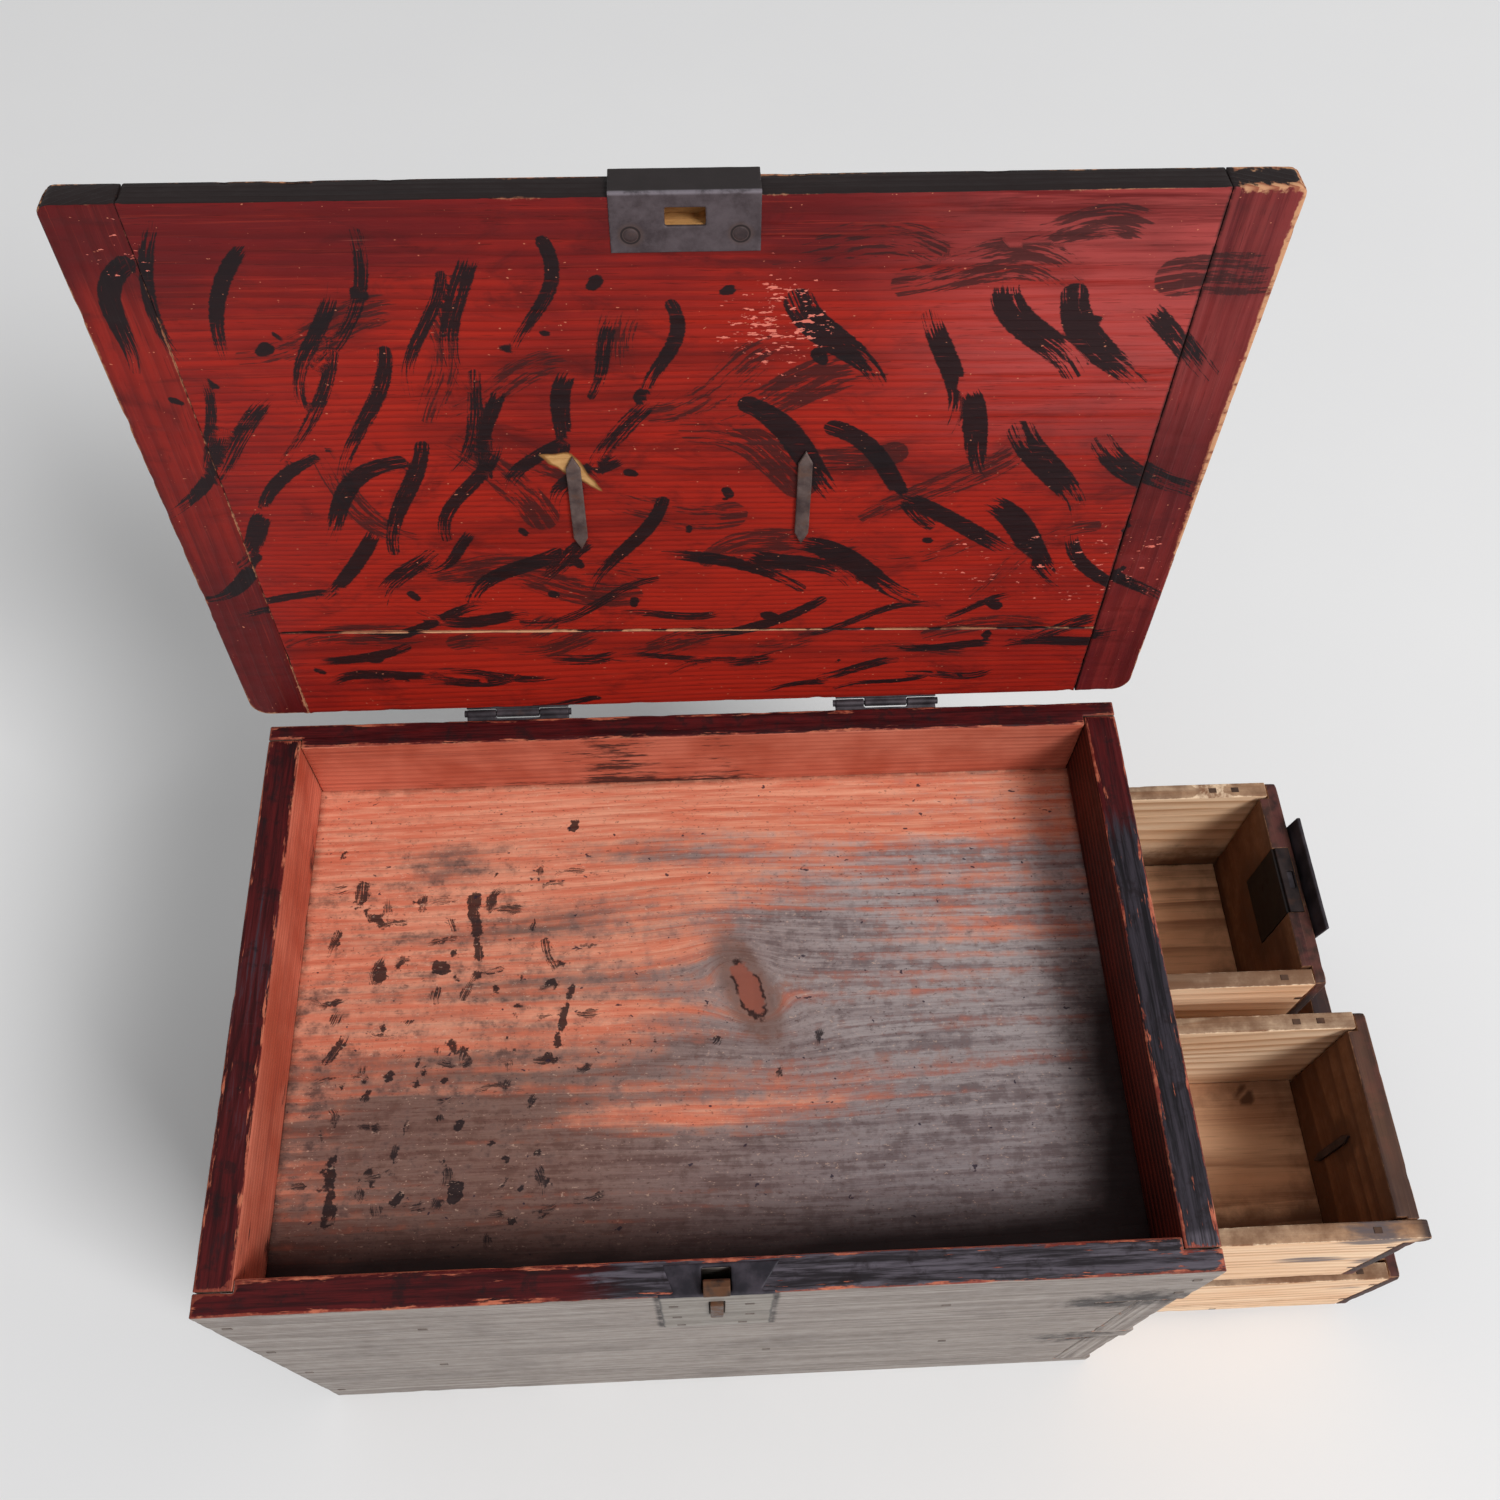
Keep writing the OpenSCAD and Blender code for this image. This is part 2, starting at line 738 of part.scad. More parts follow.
module cleat(side) {
    color(rim_color) opened() difference() {
        translate([side * (lid_w / 2 - cleat_w / 2), back_y, lid_z]) linear_extrude(lid_t) difference() {
            translate([-cleat_w / 2, -lid_len]) square([cleat_w, lid_len]);
            difference() {
                translate([side * (cleat_w / 2 - lid_corner_r), -lid_corner_r])
                    translate([side > 0 ? 0 : -lid_corner_r - 1, 0]) square(lid_corner_r + 1);
                translate([side * (cleat_w / 2 - lid_corner_r), -lid_corner_r]) circle(r = lid_corner_r);
            }
        }
        block([-field_x - tongue_len, lid_front - 1, lid_z + (lid_t - tongue_t) / 2],
            [field_x + tongue_len, back_y + 1, lid_z + (lid_t + tongue_t) / 2]);
        cleat_nails();
    }
}

module lid_left_cleat() {
    cleat(-1);
}

module lid_right_cleat() {
    cleat(1);
}

module lid_leaf(x) {
    color(iron_color) opened() difference() {
        union() {
            block([x - hinge_w / 2, back_y, case_h + barrel_r - leaf_t],
                [x + hinge_w / 2, back_y + leaf_t, lid_top]);
            translate([x, back_y + leaf_t, lid_top]) mirror([0, 1, 0]) leaf_plate(leaf_len + leaf_t);
            knuckle(x - knuckle_w / 2, x + knuckle_w / 2, barrel_r - leaf_t);
        }
        pin_bore(x);
        leaf_lid_nails();
    }
}

module left_hinge_lid_leaf() {
    lid_leaf(hinge_left_x);
}

module right_hinge_lid_leaf() {
    lid_leaf(hinge_right_x);
}

module lid_nails() {
    color(iron_color) opened() {
        leaf_lid_nails();
        cleat_nails();
    }
}

module strike_plate() {
    color(iron_color) opened() difference() {
        strike_body();
        rivet_pair(1);
        block([lock_x - strike_hole_w / 2, strike_hole_y, lid_z - 1],
            [lock_x + strike_hole_w / 2, strike_hole_y + strike_hole_d, lid_z + mortise_h]);
    }
}

// Rivets with low round heads on both faces of the strike plate
module strike_rivets() {
    color(iron_color) opened() {
        rivet_pair(0);
        for (x = [-rivet_x, rivet_x])
            translate([lock_x + x, rivet_y, lid_top + plate_t]) cylinder(r = rivet_r + 1, h = 0.8);
    }
}

// A split pin along Z: the eye above the face z = 0 turns about X, the legs are clinched at z = -board
module split_pin(strip_w, board, hole_r, off, long_leg, short_leg) {
    rotate([0, 90, 0]) translate([-off, 0, -strip_w / 2]) difference() {
        cylinder(r = hole_r + strip_t, h = strip_w);
        translate([0, 0, -1]) cylinder(r = hole_r, h = strip_w + 2);
    }
    translate([-strip_w / 2, -strip_t, -board - strip_t])
        cube([strip_w, 2 * strip_t, board + strip_t + off - hole_r - strip_t / 2]);
    translate([0, 0, -board - strip_t]) linear_extrude(strip_t)
        polygon([[-strip_w / 2, -short_leg + leg_point], [0, -short_leg],
            [strip_w / 2, -short_leg + leg_point], [strip_w / 2, long_leg - leg_point], [0, long_leg],
            [-strip_w / 2, long_leg - leg_point]]);
}

module bail_split_pins() {
    color(iron_color) opened() for (side = [-1, 1])
        translate([side * bail_w / 2, bail_y, lid_top])
            split_pin(bail_strip_w, lid_t, eye_hole_r, bail_z - lid_top, leg_short, leg_long);
}

// A low domed washer with a square-cut hole for the pin
module rose(strip_w) {
    difference() {
        cylinder(r1 = rose_r, r2 = rose_r - 1.2, h = rose_t);
        shank_hole(strip_w);
    }
}

module bail_roses() {
    color(iron_color) opened() for (side = [-1, 1])
        translate([side * bail_w / 2, bail_y, lid_top]) rose(bail_strip_w);
}

// The bail hangs plumb from its axis: two turned-in ends, two legs, two bends and a swelled grip. The legs
// and the grip are a little thinner than the bends and reach into them
module bail_shape() {
    leg_x = bail_w / 2 + bail_strip_w / 2 + bail_r + leg_clear;
    straight = bail_drop - bail_bend;
    thin_r = bail_r - bend_step;
    grip_x = leg_x - bail_bend + bend_lap;
    for (side = [-1, 1]) {
        translate([side * (bail_w / 2 - bail_end), 0, 0]) rotate([0, side * 90, 0])
            cylinder(r = bail_r, h = leg_x - bail_w / 2 + bail_end);
        translate([side * leg_x, 0, 0]) sphere(r = bail_r);
        translate([side * leg_x, 0, -straight - bend_lap]) cylinder(r = thin_r, h = straight + bend_lap);
        translate([side * (leg_x - bail_bend), 0, -straight]) rotate([-90, 0, 0])
            rotate([0, 0, side > 0 ? 0 : 90]) rotate_extrude(angle = 90) translate([bail_bend, 0])
                circle(r = bail_r);
    }
    translate([0, 0, -bail_drop]) rotate([0, 90, 0]) rotate_extrude()
        polygon([[0, -grip_x], [thin_r, -grip_x], [thin_r, -bail_w * 0.3], [grip_r, -bail_w * 0.12],
            [grip_r, bail_w * 0.12], [thin_r, bail_w * 0.3], [thin_r, grip_x], [0, grip_x]]);
}

module lid_bail() {
    color(iron_color) opened() translate([0, bail_y, bail_z]) rotate([lid_angle, 0, 0]) bail_shape();
}

// One drawer is drawn from its low Y, width, low Z, height and the X of its face
module drawer_front(y, w, z, h, face) {
    translate([face - drawer_front_t, y, z]) rotate([90, 0, 90]) linear_extrude(drawer_front_t) {
        square([w, h - drawer_corner_r]);
        translate([drawer_corner_r, h - drawer_corner_r]) square([w - 2 * drawer_corner_r, drawer_corner_r]);
        for (x = [drawer_corner_r, w - drawer_corner_r])
            translate([x, h - drawer_corner_r]) circle(r = drawer_corner_r);
    }
}

module drawer_side(y, z, h, face) {
    block([face - drawer_len, y, z], [face - drawer_front_t + drawer_rabbet, y + drawer_side_t, z + h]);
}

module drawer_end(y, w, z, h, face) {
    block([face - drawer_len, y + drawer_side_t, z],
        [face - drawer_len + drawer_side_t, y + w - drawer_side_t, z + h]);
}

module drawer_bottom(y, w, z, face) {
    block([face - drawer_len + drawer_side_t, y + drawer_side_t, z],
        [face - drawer_front_t, y + w - drawer_side_t, z + drawer_bottom_t]);
}

// Tacks through both sides into the front, the end and the bottom, and down into the top edges
module drawer_tacks(y, w, z, h, face) {
    reach = drawer_side_t + tack_len;
    for (s = [0.22, 0.78], side = [0, 1]) {
        translate([face - drawer_front_t + drawer_rabbet / 2, y + side * w, z + s * h])
            rotate([side > 0 ? -90 : 90, 0, 0]) nail(reach);
        translate([face - drawer_len + drawer_side_t / 2, y + side * w, z + s * h])
            rotate([side > 0 ? -90 : 90, 0, 0]) nail(reach);
    }
    for (s = [0.2, 0.8], side = [0, 1])
        translate([face - s * drawer_len, y + side * w, z + drawer_bottom_t / 2])
            rotate([side > 0 ? -90 : 90, 0, 0]) nail(reach);
    for (t = top_tacks)
        translate([face - t[1] * drawer_len, y + drawer_side_t / 2 + t[0] * (w - drawer_side_t), z + h])
            nail(tack_len, head_proud);
}

module drawer_sides_cut(y, w, z, h, face) {
    drawer_side(y, z, h, face);
    drawer_side(y + w - drawer_side_t, z, h, face);
}

// Back upper drawer, with its lock and its pull plate
module back_tacks() {
    drawer_tacks(back_drawer_y, back_drawer_w, shelf_z, upper_h, back_face);
}

module lock_case_body(grow) {
    block([lock_case_x - grow, back_mid - lock_strip_l / 2, upper_top - lock_case_h],
        [lock_case_x + lock_case_t, back_mid + lock_strip_l / 2, upper_top - plate_t]);
}

module lock_strip_body(grow) {
    block([lock_strip_x, back_mid - lock_strip_l / 2, upper_top - plate_t],
        [lock_strip_x + lock_strip_w, back_mid + lock_strip_l / 2, upper_top + grow]);
}

module bolt_space(grow, z_lo, z_hi) {
    block([bolt_x - bolt_t / 2 - grow, back_mid - bolt_w / 2 - grow, z_lo],
        [bolt_x + bolt_t / 2 + grow, back_mid + bolt_w / 2 + grow, z_hi]);
}

module keyhole() {
    translate([lock_case_x + lock_case_t, back_mid, upper_top - key_drop]) rotate([0, 90, 0])
        cylinder(r = key_r, h = drawer_front_t);
    block([lock_case_x + lock_case_t, back_mid - key_slot_w / 2, upper_top - key_drop - key_slot_h],
        [back_face + pull_t + 1, back_mid + key_slot_w / 2, upper_top - key_drop]);
}

// The places of the pull plate's rivets on the outer face of the plate
module at_pull_rivets() {
    for (side = [-1, 1], row = [0, 1])
        translate([back_face + pull_t, back_mid + side * (pull_w / 2 - pull_rivet_in),
            upper_top - pull_h + pull_rivet_in + row * pull_rivet_step]) rotate([0, 90, 0]) children();
}

module pull_rivets() {
    at_pull_rivets() translate([0, 0, -pull_t - drawer_front_t / 2])
        cylinder(r = pull_rivet_r, h = pull_t + drawer_front_t / 2);
}

module back_drawer_front() {
    color(rim_color) difference() {
        drawer_front(back_drawer_y, back_drawer_w, shelf_z, upper_h, back_face);
        drawer_sides_cut(back_drawer_y, back_drawer_w, shelf_z, upper_h, back_face);
        lock_case_body(1);
        lock_strip_body(1);
        keyhole();
        pull_rivets();
        back_tacks();
    }
}

module back_drawer_near_side() {
    color(bare_color) difference() {
        drawer_side(back_drawer_y, shelf_z, upper_h, back_face);
        back_tacks();
    }
}

module back_drawer_far_side() {
    color(bare_color) difference() {
        drawer_side(back_drawer_y + back_drawer_w - drawer_side_t, shelf_z, upper_h, back_face);
        back_tacks();
    }
}

module back_drawer_end() {
    color(bare_color) difference() {
        drawer_end(back_drawer_y, back_drawer_w, shelf_z, upper_h, back_face);
        back_tacks();
    }
}

module back_drawer_bottom() {
    color(bare_color) difference() {
        drawer_bottom(back_drawer_y, back_drawer_w, shelf_z, back_face);
        back_tacks();
    }
}

module back_drawer_nails() {
    color(iron_color) back_tacks();
}

module drawer_lock_case() {
    color(iron_color) difference() {
        lock_case_body(0);
        bolt_space(bolt_fit, upper_top - bolt_len - bolt_sunk, upper_top);
    }
}

module drawer_lock_strip() {
    color(iron_color) difference() {
        lock_strip_body(0);
        bolt_space(bolt_fit, upper_top - plate_t - 1, upper_top + 1);
    }
}

module drawer_lock_bolt() {
    color(iron_color) bolt_space(0, upper_top - bolt_len - bolt_sunk, upper_top - bolt_sunk);
}

module drawer_pull_plate() {
    color(iron_color) difference() {
        translate([back_face, back_mid + pull_w / 2, upper_top]) rotate([90, 0, 0]) linear_extrude(pull_w)
            polygon([[0, -pull_h], [pull_t, -pull_h], [pull_t, -pull_knee], [pull_t + lip_lean, lip_rise],
                [lip_lean, lip_rise], [0, -pull_knee]]);
        keyhole();
        pull_rivets();
    }
}

module drawer_pull_rivets() {
    color(iron_color) {
        pull_rivets();
        at_pull_rivets() cylinder(r = pull_rivet_r + 1, h = 0.9);
    }
}

// Front upper drawer: its near side runs through the front with a proud, rounded end
module front_tacks() {
    drawer_tacks(front_drawer_y, front_drawer_w, shelf_z, upper_h, front_face);
}

module near_finger() {
    block([front_face - drawer_front_t, front_drawer_y, upper_top - finger_h],
        [front_face + finger_proud - drawer_side_t / 2, front_drawer_y + drawer_side_t, upper_top]);
    translate([front_face + finger_proud - drawer_side_t / 2, front_drawer_y + drawer_side_t / 2,
        upper_top - finger_h])
        cylinder(r = drawer_side_t / 2, h = finger_h);
}

module pin_place(y, z, face) {
    translate([face, y, z]) rotate([0, 90, 0]) rotate([0, 0, 90]) children();
}

module front_drawer_front() {
    color(rim_color) difference() {
        drawer_front(front_drawer_y, front_drawer_w, shelf_z, upper_h, front_face);
        drawer_sides_cut(front_drawer_y, front_drawer_w, shelf_z, upper_h, front_face);
        near_finger();
        front_tacks();
        pin_place(front_pin_y, front_pin_z, front_face) shank_hole(ring_strip_w);
    }
}

module front_drawer_near_side() {
    color(bare_color) difference() {
        union() {
            drawer_side(front_drawer_y, shelf_z, upper_h, front_face);
            near_finger();
        }
        front_tacks();
    }
}

module front_drawer_far_side() {
    color(bare_color) difference() {
        drawer_side(front_drawer_y + front_drawer_w - drawer_side_t, shelf_z, upper_h, front_face);
        front_tacks();
    }
}

module front_drawer_end() {
    color(bare_color) difference() {
        drawer_end(front_drawer_y, front_drawer_w, shelf_z, upper_h, front_face);
        front_tacks();
    }
}

module front_drawer_bottom() {
    color(bare_color) difference() {
        drawer_bottom(front_drawer_y, front_drawer_w, shelf_z, front_face);
        front_tacks();
    }
}

module front_drawer_nails() {
    color(iron_color) front_tacks();
}

module drawer_pin() {
    split_pin(ring_strip_w, drawer_front_t, ring_eye_r, ring_x, drawer_leg_up, drawer_leg_down);
}

// A ring that hangs from its eye: its bar's centre line passes through the eye's axis
module ring() {
    translate([0, 0, -ring_mean_r]) rotate([0, 90, 0]) rotate_extrude() translate([ring_mean_r, 0])
        circle(r = ring_bar_r);
}

module front_drawer_split_pin() {
    color(iron_color) pin_place(front_pin_y, front_pin_z, front_face) drawer_pin();
}

module front_drawer_rose() {
    color(iron_color) pin_place(front_pin_y, front_pin_z, front_face) rose(ring_strip_w);
}

module front_drawer_ring() {
    color(iron_color) translate([front_face + ring_x, front_pin_y, front_pin_z]) ring();
}

// Lower drawer, the full width of its bay
module lower_tacks() {
    drawer_tacks(front_drawer_y, lower_drawer_w, bottom_t, lower_h, lower_face);
}

module lower_drawer_front() {
    color(rim_color) difference() {
        drawer_front(front_drawer_y, lower_drawer_w, bottom_t, lower_h, lower_face);
        drawer_sides_cut(front_drawer_y, lower_drawer_w, bottom_t, lower_h, lower_face);
        lower_tacks();
        pin_place(lower_pin_y, lower_pin_z, lower_face) shank_hole(ring_strip_w);
    }
}

module lower_drawer_near_side() {
    color(bare_color) difference() {
        drawer_side(front_drawer_y, bottom_t, lower_h, lower_face);
        lower_tacks();
    }
}

module lower_drawer_far_side() {
    color(bare_color) difference() {
        drawer_side(front_drawer_y + lower_drawer_w - drawer_side_t, bottom_t, lower_h, lower_face);
        lower_tacks();
    }
}

module lower_drawer_end() {
    color(bare_color) difference() {
        drawer_end(front_drawer_y, lower_drawer_w, bottom_t, lower_h, lower_face);
        lower_tacks();
    }
}

module lower_drawer_bottom() {
    color(bare_color) difference() {
        drawer_bottom(front_drawer_y, lower_drawer_w, bottom_t, lower_face);
        lower_tacks();
    }
}

module lower_drawer_nails() {
    color(iron_color) lower_tacks();
}

module lower_drawer_split_pin() {
    color(iron_color) pin_place(lower_pin_y, lower_pin_z, lower_face) drawer_pin();
}

module lower_drawer_rose() {
    color(iron_color) pin_place(lower_pin_y, lower_pin_z, lower_face) rose(ring_strip_w);
}

module lower_drawer_ring() {
    color(iron_color) translate([lower_face + ring_x, lower_pin_y, lower_pin_z]) ring();
}

front_board();
back_board();
left_board();
right_apron();
corner_post();
tray_floor();
mid_rail();
drawer_shelf();
drawer_divider();
drawer_guides();
bottom_board();
case_nails();
lock_plate();
lid_catch();
left_hinge_case_leaf();
right_hinge_case_leaf();
left_hinge_pin();
right_hinge_pin();
lid_main_board();
lid_rear_board();
lid_left_cleat();
lid_right_cleat();
left_hinge_lid_leaf();
right_hinge_lid_leaf();
lid_nails();
strike_plate();
strike_rivets();
bail_split_pins();
bail_roses();
lid_bail();
back_drawer_front();
back_drawer_near_side();
back_drawer_far_side();
back_drawer_end();
back_drawer_bottom();
back_drawer_nails();
drawer_lock_case();
drawer_lock_strip();
drawer_lock_bolt();
drawer_pull_plate();
drawer_pull_rivets();
front_drawer_front();
front_drawer_near_side();
front_drawer_far_side();
front_drawer_end();
front_drawer_bottom();
front_drawer_nails();
front_drawer_split_pin();
front_drawer_rose();
front_drawer_ring();
lower_drawer_front();
lower_drawer_near_side();
lower_drawer_far_side();
lower_drawer_end();
lower_drawer_bottom();
lower_drawer_nails();
lower_drawer_split_pin();
lower_drawer_rose();
lower_drawer_ring();
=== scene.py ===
import math

import bpy
import bmesh
import numpy as np
from mathutils import Matrix, Vector


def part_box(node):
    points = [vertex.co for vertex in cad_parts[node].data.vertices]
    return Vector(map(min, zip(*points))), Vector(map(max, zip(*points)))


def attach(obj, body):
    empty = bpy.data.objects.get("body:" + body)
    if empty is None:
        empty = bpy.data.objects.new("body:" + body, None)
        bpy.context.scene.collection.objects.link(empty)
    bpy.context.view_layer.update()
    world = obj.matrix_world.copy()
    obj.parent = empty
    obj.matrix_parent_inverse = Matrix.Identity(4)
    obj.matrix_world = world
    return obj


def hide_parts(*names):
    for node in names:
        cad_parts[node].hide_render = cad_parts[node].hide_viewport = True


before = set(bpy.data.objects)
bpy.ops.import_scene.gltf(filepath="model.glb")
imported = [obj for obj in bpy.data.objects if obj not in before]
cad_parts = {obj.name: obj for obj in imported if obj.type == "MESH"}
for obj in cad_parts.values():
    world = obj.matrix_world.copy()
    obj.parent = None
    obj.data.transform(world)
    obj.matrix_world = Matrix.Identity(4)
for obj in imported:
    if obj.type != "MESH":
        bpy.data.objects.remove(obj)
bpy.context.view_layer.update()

mm = 0.001
latticePrimes = (73856093, 19349663, 83492791)
onFace = 0.01      # mm within which a point counts as on a face
bpy.context.scene.view_settings.view_transform = "Standard"


# numbers, noise and meshes; lengths in the making are millimetres

def boxOf(node):
    return np.round(np.array([list(corner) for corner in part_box(node)]) / mm, 3)


# Random values on a lattice, blended smoothly between its points, from 0 to 1. Each layer is half as large
# as the one before
def cloud(points, size, seed, layers=3):
    total, weight, most = np.zeros(len(points)), 1.0, 0.0
    for layer in range(layers):
        place = points / (np.asarray(size, float) / 2 ** layer) + seed * 17.31 + layer * 31.7
        base = np.floor(place).astype(np.int64)
        part = place - base
        part = part * part * (3 - 2 * part)
        value = np.zeros(len(points))
        for corner in np.ndindex(2, 2, 2):
            key = ((base + corner) * latticePrimes).astype(np.uint64)
            key = (key[:, 0] ^ key[:, 1] ^ key[:, 2]) & np.uint64(0xffffffff)
            key = ((key ^ (key >> np.uint64(13))) * np.uint64(1274126177)) & np.uint64(0xffffffff)
            key = key ^ (key >> np.uint64(16))
            value += np.prod(np.where(corner, part, 1 - part), axis=1) * key / 2.0 ** 32
        total += value * weight
        most += weight
        weight *= 0.5
    return total / most


def ease(low, high, value):
    t = np.clip((value - low) / (high - low), 0, 1)
    return t * t * (3 - 2 * t)


# Values side by side, one column each; a single number fills its column
def columns(*values):
    return np.stack(np.broadcast_arrays(*values), axis=1)


def camel(words):
    first, *others = words.split("_")
    return first + "".join(word.capitalize() for word in others)


# Planes across one axis: each face of the wood, two more just beside it for the rounding, and an even filling
def planes(marks, low, high, step, radius):
    marks = np.unique(np.round(marks, 3))
    marks = marks[(marks >= low) & (marks <= high)]
    beside = (marks[:, None] + radius * np.array([-1, -0.55, 0.55, 1])).ravel()
    beside = beside[(beside > low) & (beside < high)]
    beside = beside[np.abs(beside[:, None] - marks).min(axis=1) > 0.3 * radius]
    lines = np.unique(np.round(np.concatenate([marks, beside]), 3))
    filled = [np.linspace(a, b, int(np.ceil((b - a) / step)) + 1)[:-1]
              for a, b in zip(lines[:-1], lines[1:])]
    return np.append(np.concatenate(filled), lines[-1])


# The outer skin of some boxes less some others, as quads on a lattice. Gives the points, the quads, the sum
# of the directions in which each point lies bare, and its distance to the nearest outer arris
def boxSkin(solids, cuts, step, radius):
    solids, cuts = (np.round(np.reshape(boxes, (-1, 2, 3)), 3) for boxes in (solids, cuts))
    low, high = solids[:, 0].min(axis=0), solids[:, 1].max(axis=0)
    marks = np.concatenate([solids.reshape(-1, 3), cuts.reshape(-1, 3)])
    lines = [planes(marks[:, a], low[a], high[a], step[a], radius) for a in range(3)]
    middle = np.meshgrid(*[(line[1:] + line[:-1]) / 2 for line in lines], indexing="ij")
    full = np.zeros(middle[0].shape, bool)
    for group, value in ((solids, True), (cuts, False)):
        for lo, hi in group:
            within = [(middle[a] > lo[a]) & (middle[a] < hi[a]) for a in range(3)]
            full[np.all(within, axis=0)] = value
    padded = np.pad(full, 1)
    shape = tuple(n + 1 for n in full.shape)
    quads, bare = [], []
    for a in range(3):
        b, c = (a + 1) % 3, (a + 2) % 3
        for side in (0, 1):
            beyond = np.roll(padded, -1 if side else 1, axis=a)[1:-1, 1:-1, 1:-1]
            cells = np.argwhere(full & ~beyond)
            corners = np.repeat(cells[:, None, :], 4, axis=1)
            corners[:, :, a] += side
            corners[:, [1, 2] if side else [2, 3], b] += 1
            corners[:, [2, 3] if side else [1, 2], c] += 1
            quads.append(np.ravel_multi_index(tuple(np.moveaxis(corners, 2, 0)), shape))
            bare.append(np.full(len(cells), 2 * a + side))
    quads, bare = np.concatenate(quads), np.concatenate(bare)
    used, faces = np.unique(quads, return_inverse=True)
    faces = faces.reshape(-1, 4)
    flags = np.zeros((len(used), 6))
    for way in range(6):
        flags[faces[bare == way].ravel(), way] = 1
    outward = flags[:, 1::2] - flags[:, 0::2]
    index = np.unravel_index(used, shape)
    points = np.stack([lines[a][index[a]] for a in range(3)], axis=1)
    arris = np.full(len(points), 100.0)
    for a in range(3):
        order = [a, (a + 1) % 3, (a + 2) % 3]
        block = np.transpose(padded, order)[1:-1].astype(np.int8)
        count = block[:, :-1, :-1] + block[:, 1:, :-1] + block[:, :-1, 1:] + block[:, 1:, 1:]
        change = np.diff(np.pad((count == 1).astype(np.int8), ((1, 1), (0, 0), (0, 0))), axis=0)
        change = np.moveaxis(change, 0, 2)
        for start, end in zip(np.argwhere(change == 1), np.argwhere(change == -1)):
            lo, hi = np.zeros(3), np.zeros(3)
            lo[order], hi[order] = zip(*[(lines[order[n]][start[m]], lines[order[n]][end[m]])
                                         for n, m in ((0, 2), (1, 0), (2, 1))])
            arris = np.minimum(arris, np.linalg.norm(points - np.clip(points, lo, hi), axis=1))
    return points, faces, outward, arris


def linked(name, data):
    made = bpy.data.objects.new(name, data)
    bpy.context.scene.collection.objects.link(made)
    return made


# A mesh object at the origin from points in millimetres, its point attributes, finish, body and nodes
def addPiece(name, points, faces, finish, body, nodes, fields, sharp=50):
    mesh = bpy.data.meshes.new(name)
    mesh.from_pydata((points * mm).tolist(), [], faces)
    for key, values in fields.items():
        wide = np.ndim(values) == 2
        layer = mesh.attributes.new(key, "FLOAT_VECTOR" if wide else "FLOAT", "POINT")
        values = np.ascontiguousarray(values, np.float32).ravel()
        layer.data.foreach_set("vector" if wide else "value", values)
    mesh.shade_smooth()
    mesh.set_sharp_from_angle(angle=math.radians(sharp))
    mesh.materials.append(finish)
    piece = linked(name, mesh)
    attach(piece, body)
    if nodes:
        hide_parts(*nodes)


# shaders

# A value or colour of the material in the making. Values can be added and multiplied, and a colour can be
# covered with another one through a mask. A colour in three numbers is as seen, from 0 to 255
class Wire:
    tree = None

    def __init__(self, socket):
        self.socket = socket

    def __add__(self, other):
        return calc("ADD", self, other)

    def __sub__(self, other):
        return calc("SUBTRACT", self, other)

    def __rsub__(self, other):
        return calc("SUBTRACT", other, self)

    def __mul__(self, other):
        return calc("MULTIPLY", self, other)

    def under(self, mask, cover):
        return mix(mask, self, cover)


def tone(color):
    part = [v / 255 for v in color]
    return tuple(v / 12.92 if v <= 0.04045 else ((v + 0.055) / 1.055) ** 2.4 for v in part) + (1.0,)


def put(kind, wires=None, **settings):
    made = Wire.tree.nodes.new(kind)
    for key, value in settings.items():
        setattr(made, key, value)
    for key, value in (wires or {}).items():
        if isinstance(value, Wire):
            Wire.tree.links.new(value.socket, made.inputs[key])
        else:
            made.inputs[key].default_value = value
    return made


def calc(how, *values):
    return Wire(put("ShaderNodeMath", dict(enumerate(values)), operation=how).outputs[0])


def smooth(value, low, high, least=0.0, most=1.0):
    wires = {"Value": value, "From Min": low, "From Max": high, "To Min": least, "To Max": most}
    return Wire(put("ShaderNodeMapRange", wires, interpolation_type="SMOOTHSTEP").outputs["Result"])


def mix(mask, first, second):
    first, second = (color if isinstance(color, Wire) else tone(color) for color in (first, second))
    return Wire(put("ShaderNodeMix", {0: mask, 6: first, 7: second}, data_type="RGBA").outputs[2])


# Stretches a place along its axes: two numbers are along the first axis and across it
def stretch(spot, scale, shift=(0, 0, 0)):
    wires = {0: spot, 1: (scale[0], scale[1], scale[-1]), 2: shift}
    return Wire(put("ShaderNodeVectorMath", wires, operation="MULTIPLY_ADD").outputs[0])


def noise(spot, scale, detail, rough=0.55, twist=0.0, shift=(0, 0, 0)):
    if isinstance(scale, tuple):
        spot, scale = stretch(spot, scale, shift), 1.0
    wires = {"Vector": spot, "Scale": scale, "Detail": detail, "Roughness": rough, "Distortion": twist}
    return Wire(put("ShaderNodeTexNoise", wires).outputs["Fac"])


def field(name, kind="Fac"):
    return Wire(put("ShaderNodeAttribute", attribute_name=name).outputs[kind])


def parts(value):
    return [Wire(socket) for socket in put("ShaderNodeSeparateXYZ", {0: value}).outputs]


def fieldParts(name):
    return parts(field(name, "Vector"))


